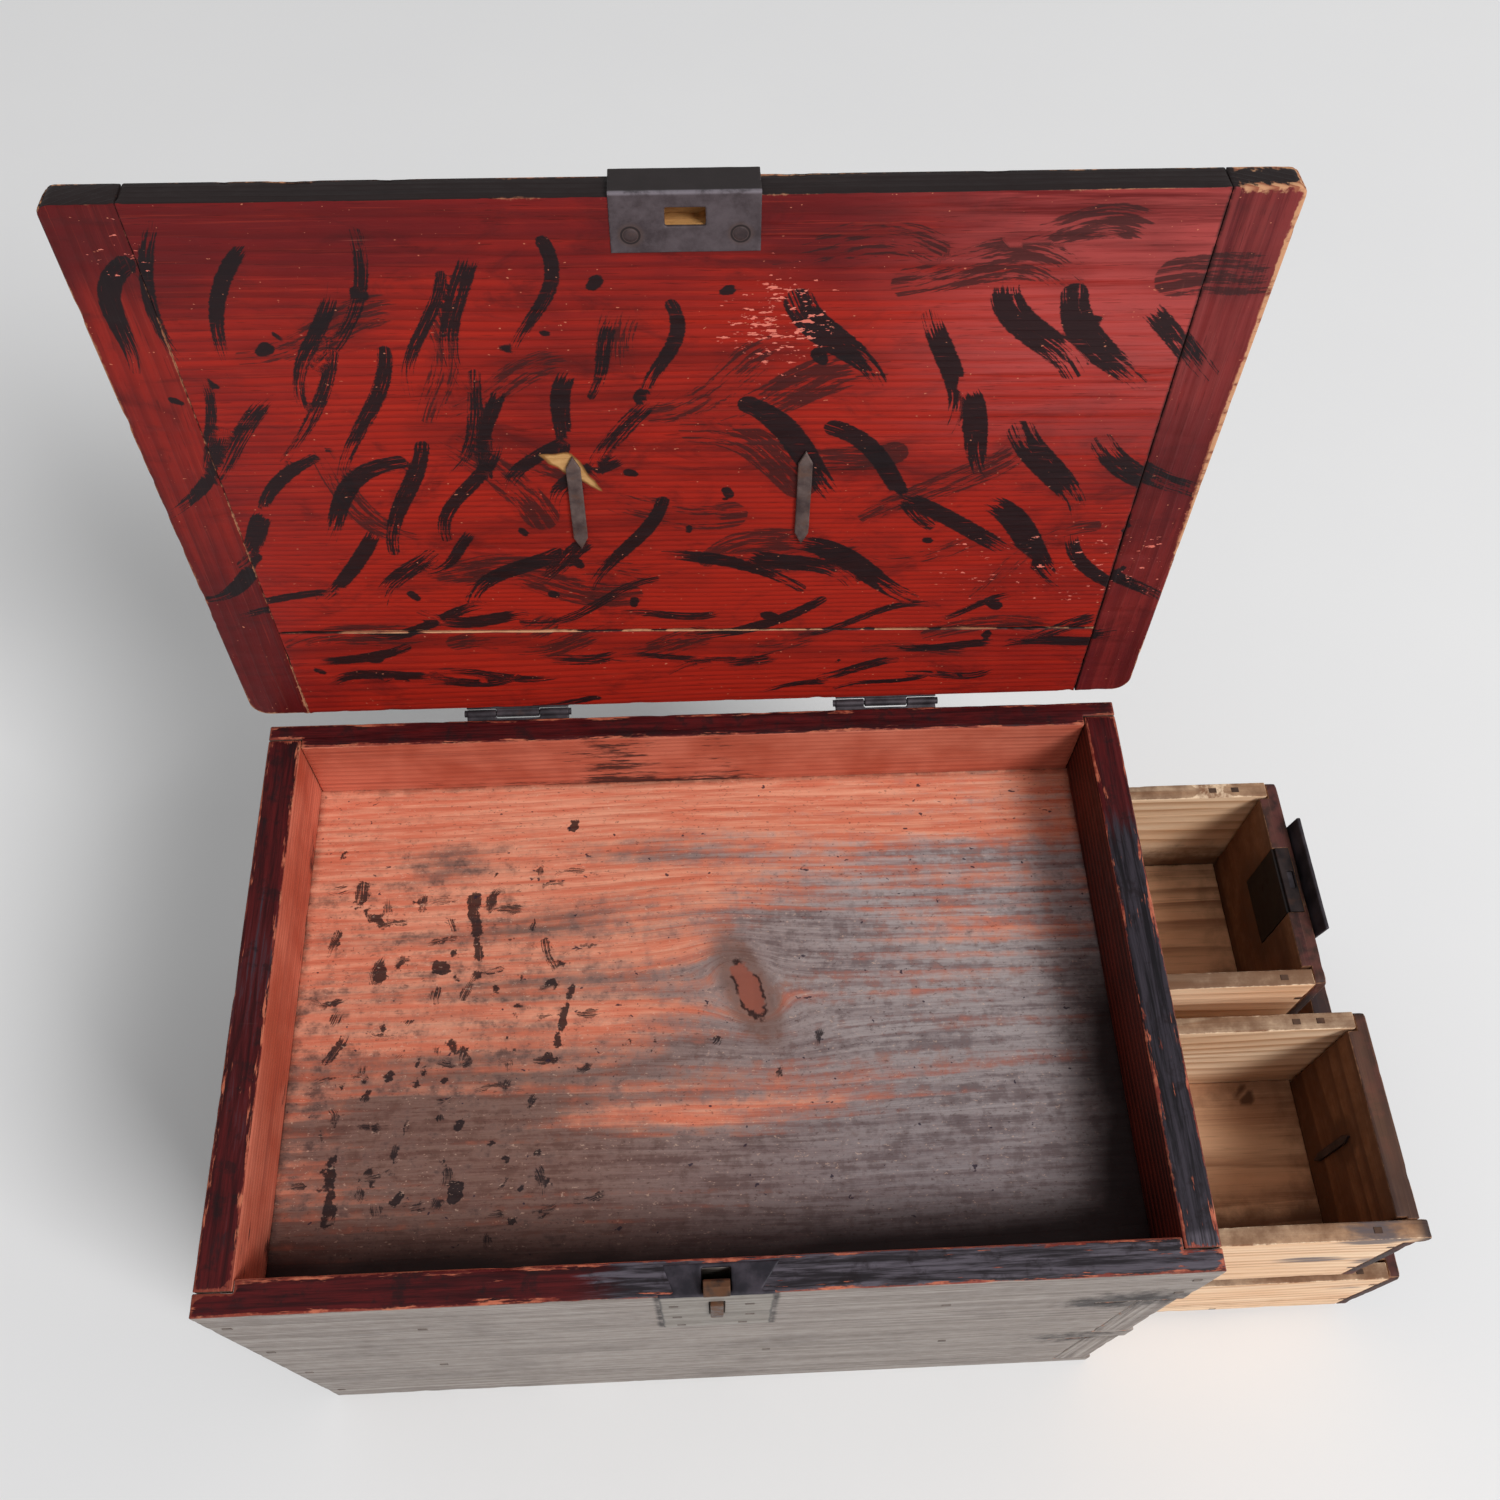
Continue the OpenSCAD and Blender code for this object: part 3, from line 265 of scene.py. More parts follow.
# Makes a node group of a recipe, once, with these inputs and their first values. The recipe takes them as
# wires and gives the outputs by name. Called later on, it places the group in a material with its own values
def shared(**inputs):
    def build(recipe):
        group = bpy.data.node_groups.new(recipe.__name__, "ShaderNodeTree")
        for key, value in inputs.items():
            kind = "NodeSocketVector" if isinstance(value, tuple) else "NodeSocketFloat"
            group.interface.new_socket(key, in_out="INPUT", socket_type=kind).default_value = value
        Wire.tree = group
        given = put("NodeGroupInput").outputs
        outputs = recipe(*(Wire(given[key]) for key in inputs))
        for key in outputs:
            group.interface.new_socket(key, in_out="OUTPUT", socket_type="NodeSocketFloat")
        put("NodeGroupOutput", outputs)

        def placed(*values):
            made = put("ShaderNodeGroup", dict(zip(inputs, values)), node_tree=group)
            wires = [Wire(made.outputs[key]) for key in outputs]
            return wires if len(wires) > 1 else wires[0]
        return placed
    return build


# Growth rings round a pith below the board, wavering along it, with fine fibres: gives the dark late wood,
# the fibres, broad flames and the relief
@shared(Grain=(0.0, 0.0, 0.0), Rings=300.0, Waver=0.01)
def woodFigure(grain, rings, waver):
    low = noise(grain, (2.6, 10), 2)
    small = noise(grain, (14, 70), 2)
    axis = parts(grain)
    radius = calc("SQRT", calc("POWER", axis[1], 2.0) + calc("POWER", axis[2], 2.0))
    radius = radius + (low - 0.5) * waver + (small - 0.5) * 0.0012
    ring = calc("FRACT", radius * rings)
    late = smooth(ring, 0.25, 0.88) * smooth(ring, 0.9, 1.0, 1.0, 0.0)
    fibre = noise(grain, (16, 1100), 3, 0.65)
    flame = noise(grain, (5, 55), 3, 0.5, 0.4)
    return {"Late": late, "Fibre": fibre, "Flame": flame, "Height": fibre * 0.7 + late * 0.45}


# Wear that starts at an arris: 1 where the distance is less than a reach that varies from place to place
@shared(Arris=100.0, Place=(0.0, 0.0, 0.0), Reach=1.5, Patchy=0.5)
def edgeWear(arris, place, reach, patchy):
    share = noise(place, 22.0, 2) * 0.75 + noise(place, 420.0, 3, 0.6) * 0.5 - patchy
    return {"Mask": smooth(share * 4.0 * reach - arris, -0.1, 0.5)}


# Patches with ragged rims
@shared(Place=(0.0, 0.0, 0.0), Cover=0.5, Soft=0.05)
def patches(place, cover, soft):
    edge = 1.0 - cover
    return {"Mask": smooth(noise(place, 1.0, 5, 0.6), edge, edge + soft)}


# Thin scratches and bruises along X, with short cross ones between
@shared(Place=(0.0, 0.0, 0.0), Amount=0.5)
def scratches(place, amount):
    level = amount * -0.12 + 0.85
    along = smooth(noise(place, (24, 950), 1), level, 0.9)
    across = smooth(noise(place, (420, 30), 1, shift=(3, 5, 1)), level + 0.04, 0.95)
    return {"Mask": (along + across * 0.7) * smooth(noise(place, 30.0, 2), 0.4, 0.62)}


# Brushed ink: ragged outline, and hairs left open where the brush ran dry. Gap is the distance to the stroke
# in mm, lane the place across the brush, sweep the mm along it
@shared(Gap=50.0, Lane=0.0, Dry=0.0, Sweep=0.0, Grain=(0.0, 0.0, 0.0))
def brushInk(gap, lane, dry, sweep, grain):
    outline = gap + (noise(grain, (300, 800), 4, 0.7) - 0.5) * 1.7
    lanes = Wire(put("ShaderNodeCombineXYZ", {0: lane * 4.2, 1: sweep * 0.055}).outputs[0])
    hairs = noise(lanes, 1.0, 4, 0.7) + (noise(grain, (40, 1000), 2, 0.6) - 0.5) * 0.22
    return {"Mask": smooth(outline, 0.3, -0.25) * (1.0 - smooth(dry - hairs, -0.03, 0.05))}


print("shader groups made")


# Starts a material: gives it with the place on the piece in metres
def newFinish(name):
    made = bpy.data.materials.new(name)
    made.use_nodes = True
    made.node_tree.nodes.clear()
    Wire.tree = made.node_tree
    return made, Wire(put("ShaderNodeTexCoord").outputs["Object"])


def finished(made, color, rough, height=None, depth=0.0003, strength=0.6, metal=0.0, gloss=0.28):
    wires = {"Base Color": color, "Roughness": rough, "Metallic": metal, "Specular IOR Level": gloss}
    if height is not None:
        bump = put("ShaderNodeBump", {"Height": height, "Strength": strength, "Distance": depth})
        wires["Normal"] = Wire(bump.outputs[0])
    shader = put("ShaderNodeBsdfPrincipled", wires)
    put("ShaderNodeOutputMaterial", {0: Wire(shader.outputs[0])})
    return made


# Inside of the lid: red lacquer on visible grain, brushed ink, chips, a torn label and bare arrises. The
# outside is black
def makeLidLacquer(name, bright, deep, pale, bareReach, patchy):
    made, spot = newFinish(name)
    grain = field("grain", "Vector")
    depth, chipping, label = fieldParts("paint")
    brush, scrub = fieldParts("brush"), fieldParts("scrub")      # strokes of ink, and dry smears
    outside, torn, seamGap = fieldParts("zone")
    inkSweep, smearSweep, sheenMask = fieldParts("sweep")
    late, fibre, flame, relief = woodFigure(grain, 390.0, 0.012)
    streak = noise(grain, (9, 230), 4, 0.65, 0.3)
    clouded = noise(spot, (30, 60), 5, 0.7, 0.6, (7, 2, 5))
    pores = noise(grain, (90, 1500), 2, 0.6)
    mottled = noise(spot, (90, 260), 4, 0.7)
    shade = depth + (noise(spot, 16.0, 4) - 0.5) * 1.2 + (streak - 0.5) * 0.9
    red = mix(smooth(shade, 0.05, 0.95), bright, deep)
    red = red.under(late * 0.34, (70, 12, 12))
    red = red.under(smooth(fibre, 0.56, 0.74, 0.0, 0.3), pale)
    red = red.under(smooth(flame, 0.52, 0.72, 0.0, 0.55), (80, 16, 16))
    red = red.under(smooth(clouded, 0.5, 0.72, 0.0, 0.6), (64, 16, 18))
    # painted sheen: a pinkish sheen over the upper right
    red = red.under(sheenMask * smooth(streak, 0.3, 0.6), (196, 84, 80))
    red = red.under(smooth(pores, 0.62, 0.72, 0.0, 0.55), (70, 12, 10))
    red = red.under(smooth(scrub[0], 5.0, -4.0, 0.0, 0.35) * mottled, (60, 20, 20))
    red = red.under(brushInk(*scrub, smearSweep, grain) * 0.82, (48, 24, 24))
    ink = brushInk(*brush, inkSweep, grain) * smooth(noise(grain, (60, 900), 3, 0.7), 0.64, 0.76, 1.0, 0.2)
    face = red.under(ink * 0.97, mix(mottled, (10, 8, 11), (34, 25, 28)))
    # chips, pale specks, scratches, the torn paper and the dark seams
    level = chipping * -0.29 + 0.86
    chips = smooth(noise(spot, (230, 640), 3, 0.6), level, level + 0.02)
    face = face.under(chips, mix(pores, (214, 88, 72), (238, 148, 130)))
    specks = noise(spot, (520, 900), 1, shift=(3, 1, 9))
    face = face.under(smooth(specks, 0.765, 0.79, 0.0, 0.75), (212, 130, 100))
    face = face.under(scratches(spot, 0.75) * 0.5, (206, 120, 100))
    paper = mix(mottled, (170, 118, 62), (226, 182, 124))
    paper = mix(smooth(label, -1.4, -0.3), paper, (138, 96, 52))
    face = face.under(smooth(label, 0.4, -0.4), paper)
    seam = smooth(seamGap, 1.3, 0.2, 0.0, 0.85) * smooth(mottled, 0.25, 0.55)
    face = face.under(seam, (30, 14, 14))
    # outside: nearly black lacquer, rubbed through to brown wood
    coat = mix(patches(stretch(spot, (22, 60)), 0.42, 0.16), (36, 27, 27), (72, 50, 44))
    coat = coat.under(smooth(fibre, 0.45, 0.75, 0.0, 0.5), (26, 20, 20))
    color = mix(smooth(outside, 0.3, 0.7), face, coat)
    wear = edgeWear(field("arris"), spot, bareReach, patchy)
    bareWood = mix(late, (212, 158, 118), (160, 96, 70)).under(smooth(mottled, 0.5, 0.7), (120, 62, 50))
    color = color.under(wear * 0.85, bareWood)
    color = color.under(torn, mix(mottled, (222, 172, 108), (120, 74, 42)))
    rough = wear * 0.25 + smooth(mottled, 0.3, 0.7, 0.42, 0.58)
    return finished(made, color, rough, ink * 0.15 + relief + chips * -0.6, 0.00022, 0.7, gloss=0.18)


# Boards of the case: a lacquered rim that turns from maroon to black at the right front, a coral tray, and a
# weathered outside
def makeCaseFinish(name, outer, outerWorn, outerDark, inner, innerPale, innerDark):
    made, spot = newFinish(name)
    grain, arris, sooty = field("grain", "Vector"), field("arris"), field("soot")
    onRim, inTray, blackness = fieldParts("zone")
    late, fibre, _, relief = woodFigure(grain, 330.0, 0.014)
    mottled = noise(spot, 120.0, 5, 0.65)
    broad = noise(spot, 26.0, 3)
    streak = noise(grain, (9, 300), 5, 0.65, 0.2)
    # outside: weathered in long thin streaks
    coat = mix(smooth(streak, 0.36, 0.64), outer, outerWorn)
    coat = coat.under(smooth(broad, 0.5, 0.75, 0.0, 0.4), outerDark)
    coat = coat.under(late * 0.35, outerDark)
    coat = coat.under(smooth(noise(grain, (26, 900), 3, 0.6), 0.56, 0.7, 0.0, 0.7), outerDark)
    coat = coat.under(smooth(fibre, 0.55, 0.75, 0.0, 0.4), outerWorn)
    coat = coat.under(patches(stretch(grain, (14, 110)), 0.4, 0.14) * 0.5, outerDark)
    coat = coat.under(smooth(sooty + (mottled - 0.5) * 0.8, 0.35, 0.75, 0.0, 0.9), (40, 34, 35))
    # rim: maroon and black lacquer brushed along the boards, smudges and streaky chips, most of them beside
    # an arris
    brushed = noise(grain, (22, 420), 5, 0.7, 0.3, (1, 6, 3))
    dark = smooth(blackness + (brushed - 0.5) * 1.5, 0.3, 0.6)
    maroon = mix(smooth(brushed, 0.35, 0.65), (44, 6, 10), (84, 18, 20))
    black = mix(smooth(brushed, 0.4, 0.62), (20, 17, 22), (54, 49, 57))
    # painted light: the black is lighter along the front of the rim
    litBlackFront = mix(smooth(brushed, 0.4, 0.62), (34, 29, 34), (90, 84, 93))
    black = mix(smooth(parts(spot)[1], -0.108, -0.112), black, litBlackFront)
    rim = mix(dark, maroon, black)
    rim = rim.under(smooth(mottled, 0.52, 0.66, 0.0, 0.6), (22, 12, 15))
    rim = rim.under(patches(stretch(grain, (40, 130)), 0.42, 0.1) * 0.6, (28, 18, 22))
    level = noise(grain, (60, 620), 4, 0.65, shift=(4, 2, 7))
    level = level + (noise(spot, (30, 30), 2) * 0.3 + smooth(arris, 3.4, 0.3) * 0.21)
    chip = smooth(level, 0.84, 0.89)
    rim = rim.under(chip * 0.85, mix(smooth(mottled, 0.4, 0.6), (128, 50, 38), (200, 112, 84)))
    # inside of the tray
    coral = mix(smooth(broad, 0.3, 0.7), inner, innerPale)
    coral = coral.under(late * 0.3, (150, 66, 48))
    coral = coral.under(smooth(streak, 0.5, 0.7, 0.0, 0.5), innerDark)
    level = noise(spot, (14, 30), 2) * 0.5 + noise(grain, (55, 420), 5, 0.72) * 0.75
    coral = coral.under(smooth(sooty * 0.34 + level, 0.8, 0.9) * 0.88, (36, 26, 30))
    color = mix(inTray, coat, coral)
    color = mix(onRim, color, rim)
    wear = edgeWear(arris, spot, 1.1, 0.47)
    warm = mix(onRim, mix(inTray, outerWorn, innerPale), (136, 62, 48))
    color = color.under(wear * 0.75, warm.under(smooth(mottled, 0.5, 0.7), (200, 128, 96)))
    color = color.under(scratches(spot, 0.6) * 0.3, (176, 146, 138))
    rough = smooth(mottled, 0.3, 0.7, 0.46, 0.66)
    return finished(made, color, rough, chip * -0.6 + relief, strength=0.7, gloss=0.2)


# Floor of the tray: coral paint under a grey wash that runs along the grain in tongues, dabs of ink and a
# knot
def makeTrayFinish(name):
    made, spot = newFinish(name)
    axis = parts(spot)
    grain = field("grain", "Vector")
    washed, dirty, knotGap = fieldParts("wash")
    gap, lane, dry = fieldParts("brush")
    sweep, grimeAndShadeMask = fieldParts("sweep")[:2]
    late, _, _, relief = woodFigure(grain, 210.0, 0.022)
    tongues = noise(grain, (7, 75), 3, 0.5, 0.5)
    fine = noise(grain, (26, 420), 4, 0.65)
    hair = noise(grain, (30, 1300), 3, 0.65)
    mottled = noise(spot, 150.0, 5, 0.65)
    coral = mix(smooth(fine, 0.35, 0.65), (214, 122, 94), (234, 164, 134))
    coral = coral.under(late * 0.3, (180, 92, 68))
    coral = coral.under(smooth(hair, 0.55, 0.7, 0.0, 0.4), (190, 100, 78))
    # the grey wash, browner at the left and darker at the lower right
    right = smooth(axis[0], -0.09, 0.1)
    lower = smooth(axis[1], 0.02, -0.09)
    darkGray = mix(right, (82, 65, 60), mix(lower, (104, 104, 107), (84, 85, 89)))
    paleGray = mix(right, (124, 100, 92), mix(lower, (168, 165, 166), (133, 132, 136)))
    gray = mix(smooth(mottled * 0.5 + fine * 0.5, 0.4, 0.6), darkGray, paleGray)
    gray = gray.under(smooth(hair, 0.5, 0.7, 0.0, 0.3), darkGray)
    gray = gray.under(smooth(mottled, 0.52, 0.7, 0.0, 0.4), (86, 74, 72))
    level = washed + (tongues - 0.5) * 0.95 + (fine - 0.5) * 0.35 + (mottled - 0.5) * 0.6 + late * -0.14
    color = mix(smooth(level, 0.22, 0.8) * 0.92, coral, gray)
    smudge = smooth(mottled * 0.6 + fine * 0.5, 0.54, 0.72)
    color = color.under(smudge * dirty * 0.6, (58, 42, 42))
    ragged = noise(spot, (150, 150), 5, 0.65, shift=(3, 8, 1))
    ink = brushInk(gap + (ragged - 0.5) * 9.0, lane, dry, sweep, grain)
    color = color.under(ink * 0.9, mix(mottled, (10, 8, 12), (40, 32, 36)))
    drops = noise(spot, (210, 260), 2, shift=(5, 1, 2))
    color = color.under(smooth(drops, 0.72, 0.745, 0.0, 0.85), (40, 30, 46))
    grit = noise(spot, (420, 760), 3, 0.7, shift=(2, 7, 1))
    color = color.under(smooth(grit, 0.6, 0.7, 0.0, 0.55), (70, 48, 44))
    color = color.under(smooth(grit, 0.37, 0.3, 0.0, 0.35), (232, 196, 172))
    # the knot: a dark broken outline round a brown heart, with a warm halo
    knot = knotGap + (mottled - 0.5) * 9.0
    color = color.under(smooth(knot, 20.0, 10.0, 0.0, 0.72), (112, 82, 72))
    heart = mix(smooth(fine, 0.4, 0.6), (84, 44, 38), (146, 80, 64))
    color = color.under(smooth(knot, 8.0, 6.0, 0.0, 0.8), heart)
    outline = smooth(knot, 6.0, 7.0) * smooth(knot, 8.6, 7.4) * smooth(noise(spot, 90.0, 2), 0.4, 0.5)
    color = color.under(outline * 0.9, (36, 20, 20))
    # painted shade where the floor meets the walls, together with the grime and painted shade along the front
    # and right walls
    corner = smooth(field("arris"), 5.0, 0.0) * smooth(mottled, 0.25, 0.6)
    color = color.under(calc("MAXIMUM", corner * 0.5, grimeAndShadeMask), (34, 24, 24))
    color = color.under(scratches(spot, 0.7) * 0.3, (214, 190, 178))
    return finished(made, color, smooth(mottled, 0.3, 0.7, 0.5, 0.68), relief, gloss=0.18)


# Bare softwood of the drawers and hidden boards: stains, painted shade on drawer floors, ink and handled
# arrises
def makeBareWood(name, light, middle, dark, grime, rings, waver, leastLate=0.12):
    made, spot = newFinish(name)
    grain = field("grain", "Vector")
    stainAndShade, lacquered, inked = fieldParts("zone")
    late, fibre, flame, relief = woodFigure(grain, rings, waver)
    mottled = noise(spot, 110.0, 5, 0.65)
    broad = noise(grain, (8, 30), 3)
    uneven = noise(grain, (6, 60), 3, shift=(3, 1, 4))
    color = mix(smooth(broad, 0.3, 0.7), light, middle)
    color = color.under(late * smooth(uneven, 0.35, 0.6, leastLate, 0.8), dark)
    color = color.under(smooth(fibre, 0.5, 0.75, 0.0, 0.35), light)
    color = color.under(smooth(flame, 0.55, 0.75, 0.0, 0.35), dark)
    hair = noise(grain, (22, 760), 4, 0.7, shift=(1, 2, 3))
    color = color.under(smooth(hair, 0.52, 0.68, 0.0, 0.4), dark)
    # stains, and on the drawers' floors painted shade in the corners and the near side's painted shadow
    dirt = stainAndShade + (mottled - 0.5) + (uneven - 0.5) * 0.5
    color = color.under(smooth(dirt, 0.05, 1.0, 0.0, 0.9), mix(mottled, grime, (112, 74, 50)))
    ink = smooth(inked + (noise(grain, (18, 120), 5, 0.65, 0.4) - 0.5) * 1.6, 0.5, 0.8)
    color = color.under(ink * 0.85, mix(mottled, (62, 56, 62), (112, 104, 108)))
    # lacquer on the faces of the fronts
    coat = mix(smooth(mottled, 0.4, 0.62), (38, 20, 22), (84, 44, 42))
    coat = coat.under(smooth(broad, 0.42, 0.62), (40, 33, 37))
    coat = coat.under(smooth(fibre, 0.55, 0.75, 0.0, 0.35), (112, 84, 72))
    color = mix(lacquered, color, coat)
    bare = mix(smooth(mottled, 0.42, 0.62), light, (132, 88, 60))
    wear = edgeWear(field("arris"), spot, 0.9, 0.52)
    color = color.under(wear * 0.75, mix(lacquered, bare, (172, 126, 94)))
    return finished(made, color, smooth(mottled, 0.3, 0.7, 0.6, 0.8), relief, strength=0.8)


# Forged iron under old black finish: faint cloudy patches, fine pits, brown where it rusts
def makeIron(name, dark, light, rust, rustCover, metal, rough):
    made, spot = newFinish(name)
    cloudy = noise(spot, 110.0, 5, 0.6)
    pits = noise(spot, 1400.0, 4, 0.7)
    color = mix(smooth(cloudy, 0.3, 0.7), dark, light).under(smooth(pits, 0.58, 0.76, 0.0, 0.4), light)
    brown = patches(stretch(spot, (160, 160), (2, 4, 1)), rustCover, 0.2)
    roughness = brown * 0.2 + smooth(cloudy, 0.3, 0.7, rough, rough + 0.12)
    height = cloudy * 1.2 + pits * 0.5
    return finished(made, color.under(brown * 0.6, rust), roughness, height, 0.0002, 0.5, metal)


# The lock plate: black on the rim, weathered as grey as the front board on its face, with a dark outline
def makeLockPlateIron(name):
    made, spot = newFinish(name)
    cloudy = noise(spot, 120.0, 5, 0.6)
    black = mix(smooth(cloudy, 0.35, 0.65), (40, 37, 44), (66, 60, 68))
    streak = noise(spot, (14, 300), 4, 0.65)
    face = mix(smooth(streak, 0.35, 0.65), (118, 110, 102), (152, 144, 136))
    outline = field("outline") + (cloudy - 0.5) * 2.2
    face = face.under(smooth(outline, 1.3, 0.3, 0.0, 0.8), (50, 44, 44))
    face = face.under(patches(stretch(spot, (150, 150)), 0.42, 0.2) * 0.5, (104, 96, 84))
    color = mix(smooth(parts(spot)[2], 0.2366, 0.2374), face, black)
    return finished(made, color, smooth(cloudy, 0.3, 0.7, 0.45, 0.6), cloudy, 0.0002, 0.6, 0.25)


# The strike plate: darker on the lid's edge, a bright bend, and a dark ring with rust round each rivet
def makeStrikeIron(name):
    made, spot = newFinish(name)
    rivetGap = field("rivet")
    cloudy = noise(spot, 130.0, 5, 0.65)
    pits = noise(spot, 1400.0, 4, 0.7)
    color = mix(smooth(cloudy, 0.3, 0.7), (64, 54, 57), (94, 84, 88))
    color = color.under(smooth(pits, 0.58, 0.76, 0.0, 0.5), (110, 98, 100))
    color = color.under(field("band") * 0.85, (40, 35, 34))
    bend = smooth(field("bend"), 1.3, 0.3) * smooth(cloudy, 0.3, 0.55)
    color = color.under(bend * 0.8, (138, 130, 138))
    color = color.under(smooth(rivetGap + (cloudy - 0.5) * 2.0, 5.0, 2.6, 0.0, 0.6), (92, 72, 66))
    ring = calc("ABSOLUTE", rivetGap - 2.9)
    color = color.under(smooth(ring, 0.55, 0.15, 0.0, 0.85), (30, 25, 27))
    return finished(made, color, smooth(cloudy, 0.3, 0.7, 0.46, 0.6), cloudy, 0.0002, 0.6, 0.3)


lidRed = makeLidLacquer("lidRedLacquer", (166, 34, 20), (104, 20, 22), (190, 62, 40), 0.7, 0.56)
leftCleatRed = makeLidLacquer("leftCleatRedLacquer", (148, 34, 24), (92, 20, 22), (166, 60, 44), 1.2, 0.54)
rightCleatMaroon = makeLidLacquer("rightCleatMaroonLacquer", (138, 40, 36), (88, 22, 26), (150, 64, 54), 1.5,
                                  0.52)
coral = ((178, 84, 62), (212, 122, 98), (140, 66, 54))
darkWood = ((56, 42, 40), (88, 70, 60), (34, 28, 28))
caseGray = makeCaseFinish("caseWeatheredWood", (130, 119, 112), (164, 154, 147), (92, 81, 76), *coral)
caseDark = makeCaseFinish("caseDarkLacquer", *darkWood, *coral)
# the right apron's inner wall is dark red-brown, and painted darker still with the shade that falls on it
apronDarkShadedInside = makeCaseFinish("apronDarkLacquer", *darkWood, (38, 10, 7), (72, 24, 16), (20, 7, 6))
trayCoral = makeTrayFinish("trayWashedCoral")
softwood = makeBareWood("softwoodBare", (252, 222, 188), (236, 192, 152), (184, 132, 92), (84, 54, 38),
                        150.0, 0.045)
drawerFloorWood = makeBareWood("softwoodDrawerFloor", (255, 206, 164), (232, 174, 132), (150, 98, 68),
                               (66, 40, 28), 190.0, 0.03, 0.34)
softwoodDark = makeBareWood("softwoodStained", (156, 112, 80), (126, 84, 58), (86, 52, 36), (44, 28, 22),
                            130.0, 0.04)
blackIron = makeIron("blackIron", (44, 40, 44), (76, 69, 74), (84, 58, 48), 0.42, 0.45, 0.42)
rivetIron = makeIron("rivetIron", (50, 40, 42), (84, 70, 70), (96, 70, 60), 0.5, 0.3, 0.5)
darkIron = makeIron("darkIron", (20, 16, 16), (36, 29, 28), (46, 30, 24), 0.45, 0.3, 0.6)
brownedIron = makeIron("brownedIron", (34, 27, 28), (58, 47, 46), (72, 48, 38), 0.5, 0.35, 0.5)
pinIron = makeIron("pinIron", (70, 58, 58), (112, 97, 93), (104, 74, 60), 0.52, 0.3, 0.45)
catchIron = makeIron("catchIron", (52, 40, 36), (98, 78, 66), (112, 72, 46), 0.6, 0.5, 0.4)
nailBrown = makeIron("nailBrown", (60, 42, 34), (96, 70, 54), (84, 50, 34), 0.5, 0.1, 0.6)
nailGray = makeIron("nailGray", (98, 88, 82), (126, 115, 108), (84, 72, 66), 0.5, 0.1, 0.6)
nailRed = makeIron("nailRed", (58, 26, 24), (88, 36, 32), (44, 24, 22), 0.5, 0.1, 0.6)
strikeIron = makeStrikeIron("strikeIron")
lockPlateIron = makeLockPlateIron("lockPlateIron")
print("finishes made")


# the wooden pieces

# Rounds the arrises, wears them in places and gives the faces a low relief along the grain, all inwards.
# At distance d from an arris of radius r, a point moves inwards by r - sqrt(r^2 - (r - d)^2)
def wearWood(points, outward, arris, spec):
    radius, seed = spec["radius"], spec["seed"]
    gap = np.clip(radius - arris, 0, radius)
    inward = radius - np.sqrt(radius ** 2 - gap ** 2)
    atArris = arris < onFace
    cornerShare, arrisShare = 0.42, 0.29      # of the radius, where three or two faces meet
    share = np.where(np.abs(outward).sum(axis=1) > 2, cornerShare, arrisShare)
    inward = np.where(atArris, radius * share, inward)
    chipReach, chipAtArris = 1.3, 0.7
    ragged = ease(0.52, 0.85, cloud(points, 9.0, seed, 4))
    inward += spec["chip"] * ragged * np.exp(-arris / chipReach) * np.where(atArris, chipAtArris, 1.0)
    size = np.full(3, 5.0)
    size[spec["grain"][0]] = 70.0
    inward += spec["relief"] * (0.5 * cloud(points, size, seed + 1) + 0.5 * cloud(points, 38.0, seed + 2))
    return points - outward * inward[:, None]


# A board of the spec's solids less its cuts, worn, dented, shaped and placed. Its grain is in metres along,
# across and through the board, off the pith by the board's own amounts
def timber(spec):
    solids = spec.get("solids", [boxOf(node) for node in spec["nodes"]])
    step = spec["step"] if isinstance(spec["step"], tuple) else (spec["step"],) * 3
    drawn, faces, outward, arris = boxSkin(solids, spec.get("cuts", []), step, spec["radius"])
    worn = wearWood(drawn, outward, arris, spec)
    rng = np.random.default_rng(spec["seed"])
    pith = spec.get("pith", rng.uniform((0, -60, 40), (900, 60, 110)))
    values = {"grain": (drawn[:, spec["grain"]] + np.asarray(pith)) * mm, "arris": arris}
    values.update(spec["fields"](drawn, arris))
    if "dent" in spec:
        worn = spec["dent"](drawn, worn)
    for change in ("shape", "place"):
        worn = spec[change](worn) if change in spec else worn
    addPiece(spec["name"], worn, faces.tolist(), spec["finish"], spec["body"], spec["nodes"],
             values)


# A box from its spans along X, Y and Z
def cut(x, y, z):
    return np.array([[x[0], y[0], z[0]], [x[1], y[1], z[1]]], float)


front, back, left = boxOf("front_board"), boxOf("back_board"), boxOf("left_board")
apron, post, floor = boxOf("right_apron"), boxOf("corner_post"), boxOf("tray_floor")
rail, divider, bottom = boxOf("mid_rail"), boxOf("drawer_divider"), boxOf("bottom_board")
rimZ = front[1, 2]
inner = {"left": left[1, 0], "right": apron[0, 0], "front": front[1, 1], "back": back[0, 1],
         "floor": floor[1, 2]}
far = 500.0      # past the box on every side
plateMiddle, plateHalf = 0.6, 21.5      # of the lock plate, along X
postNotch = dict(x=front[1, 0] - 19.0, low=10.0, kerfLength=17.0, kerf=2.4)
catchPocket = dict(half=5.6, back=-114.65, low=194.0)
keeper = dict(drawerOut=92.7, play=0.6, high=3.7)


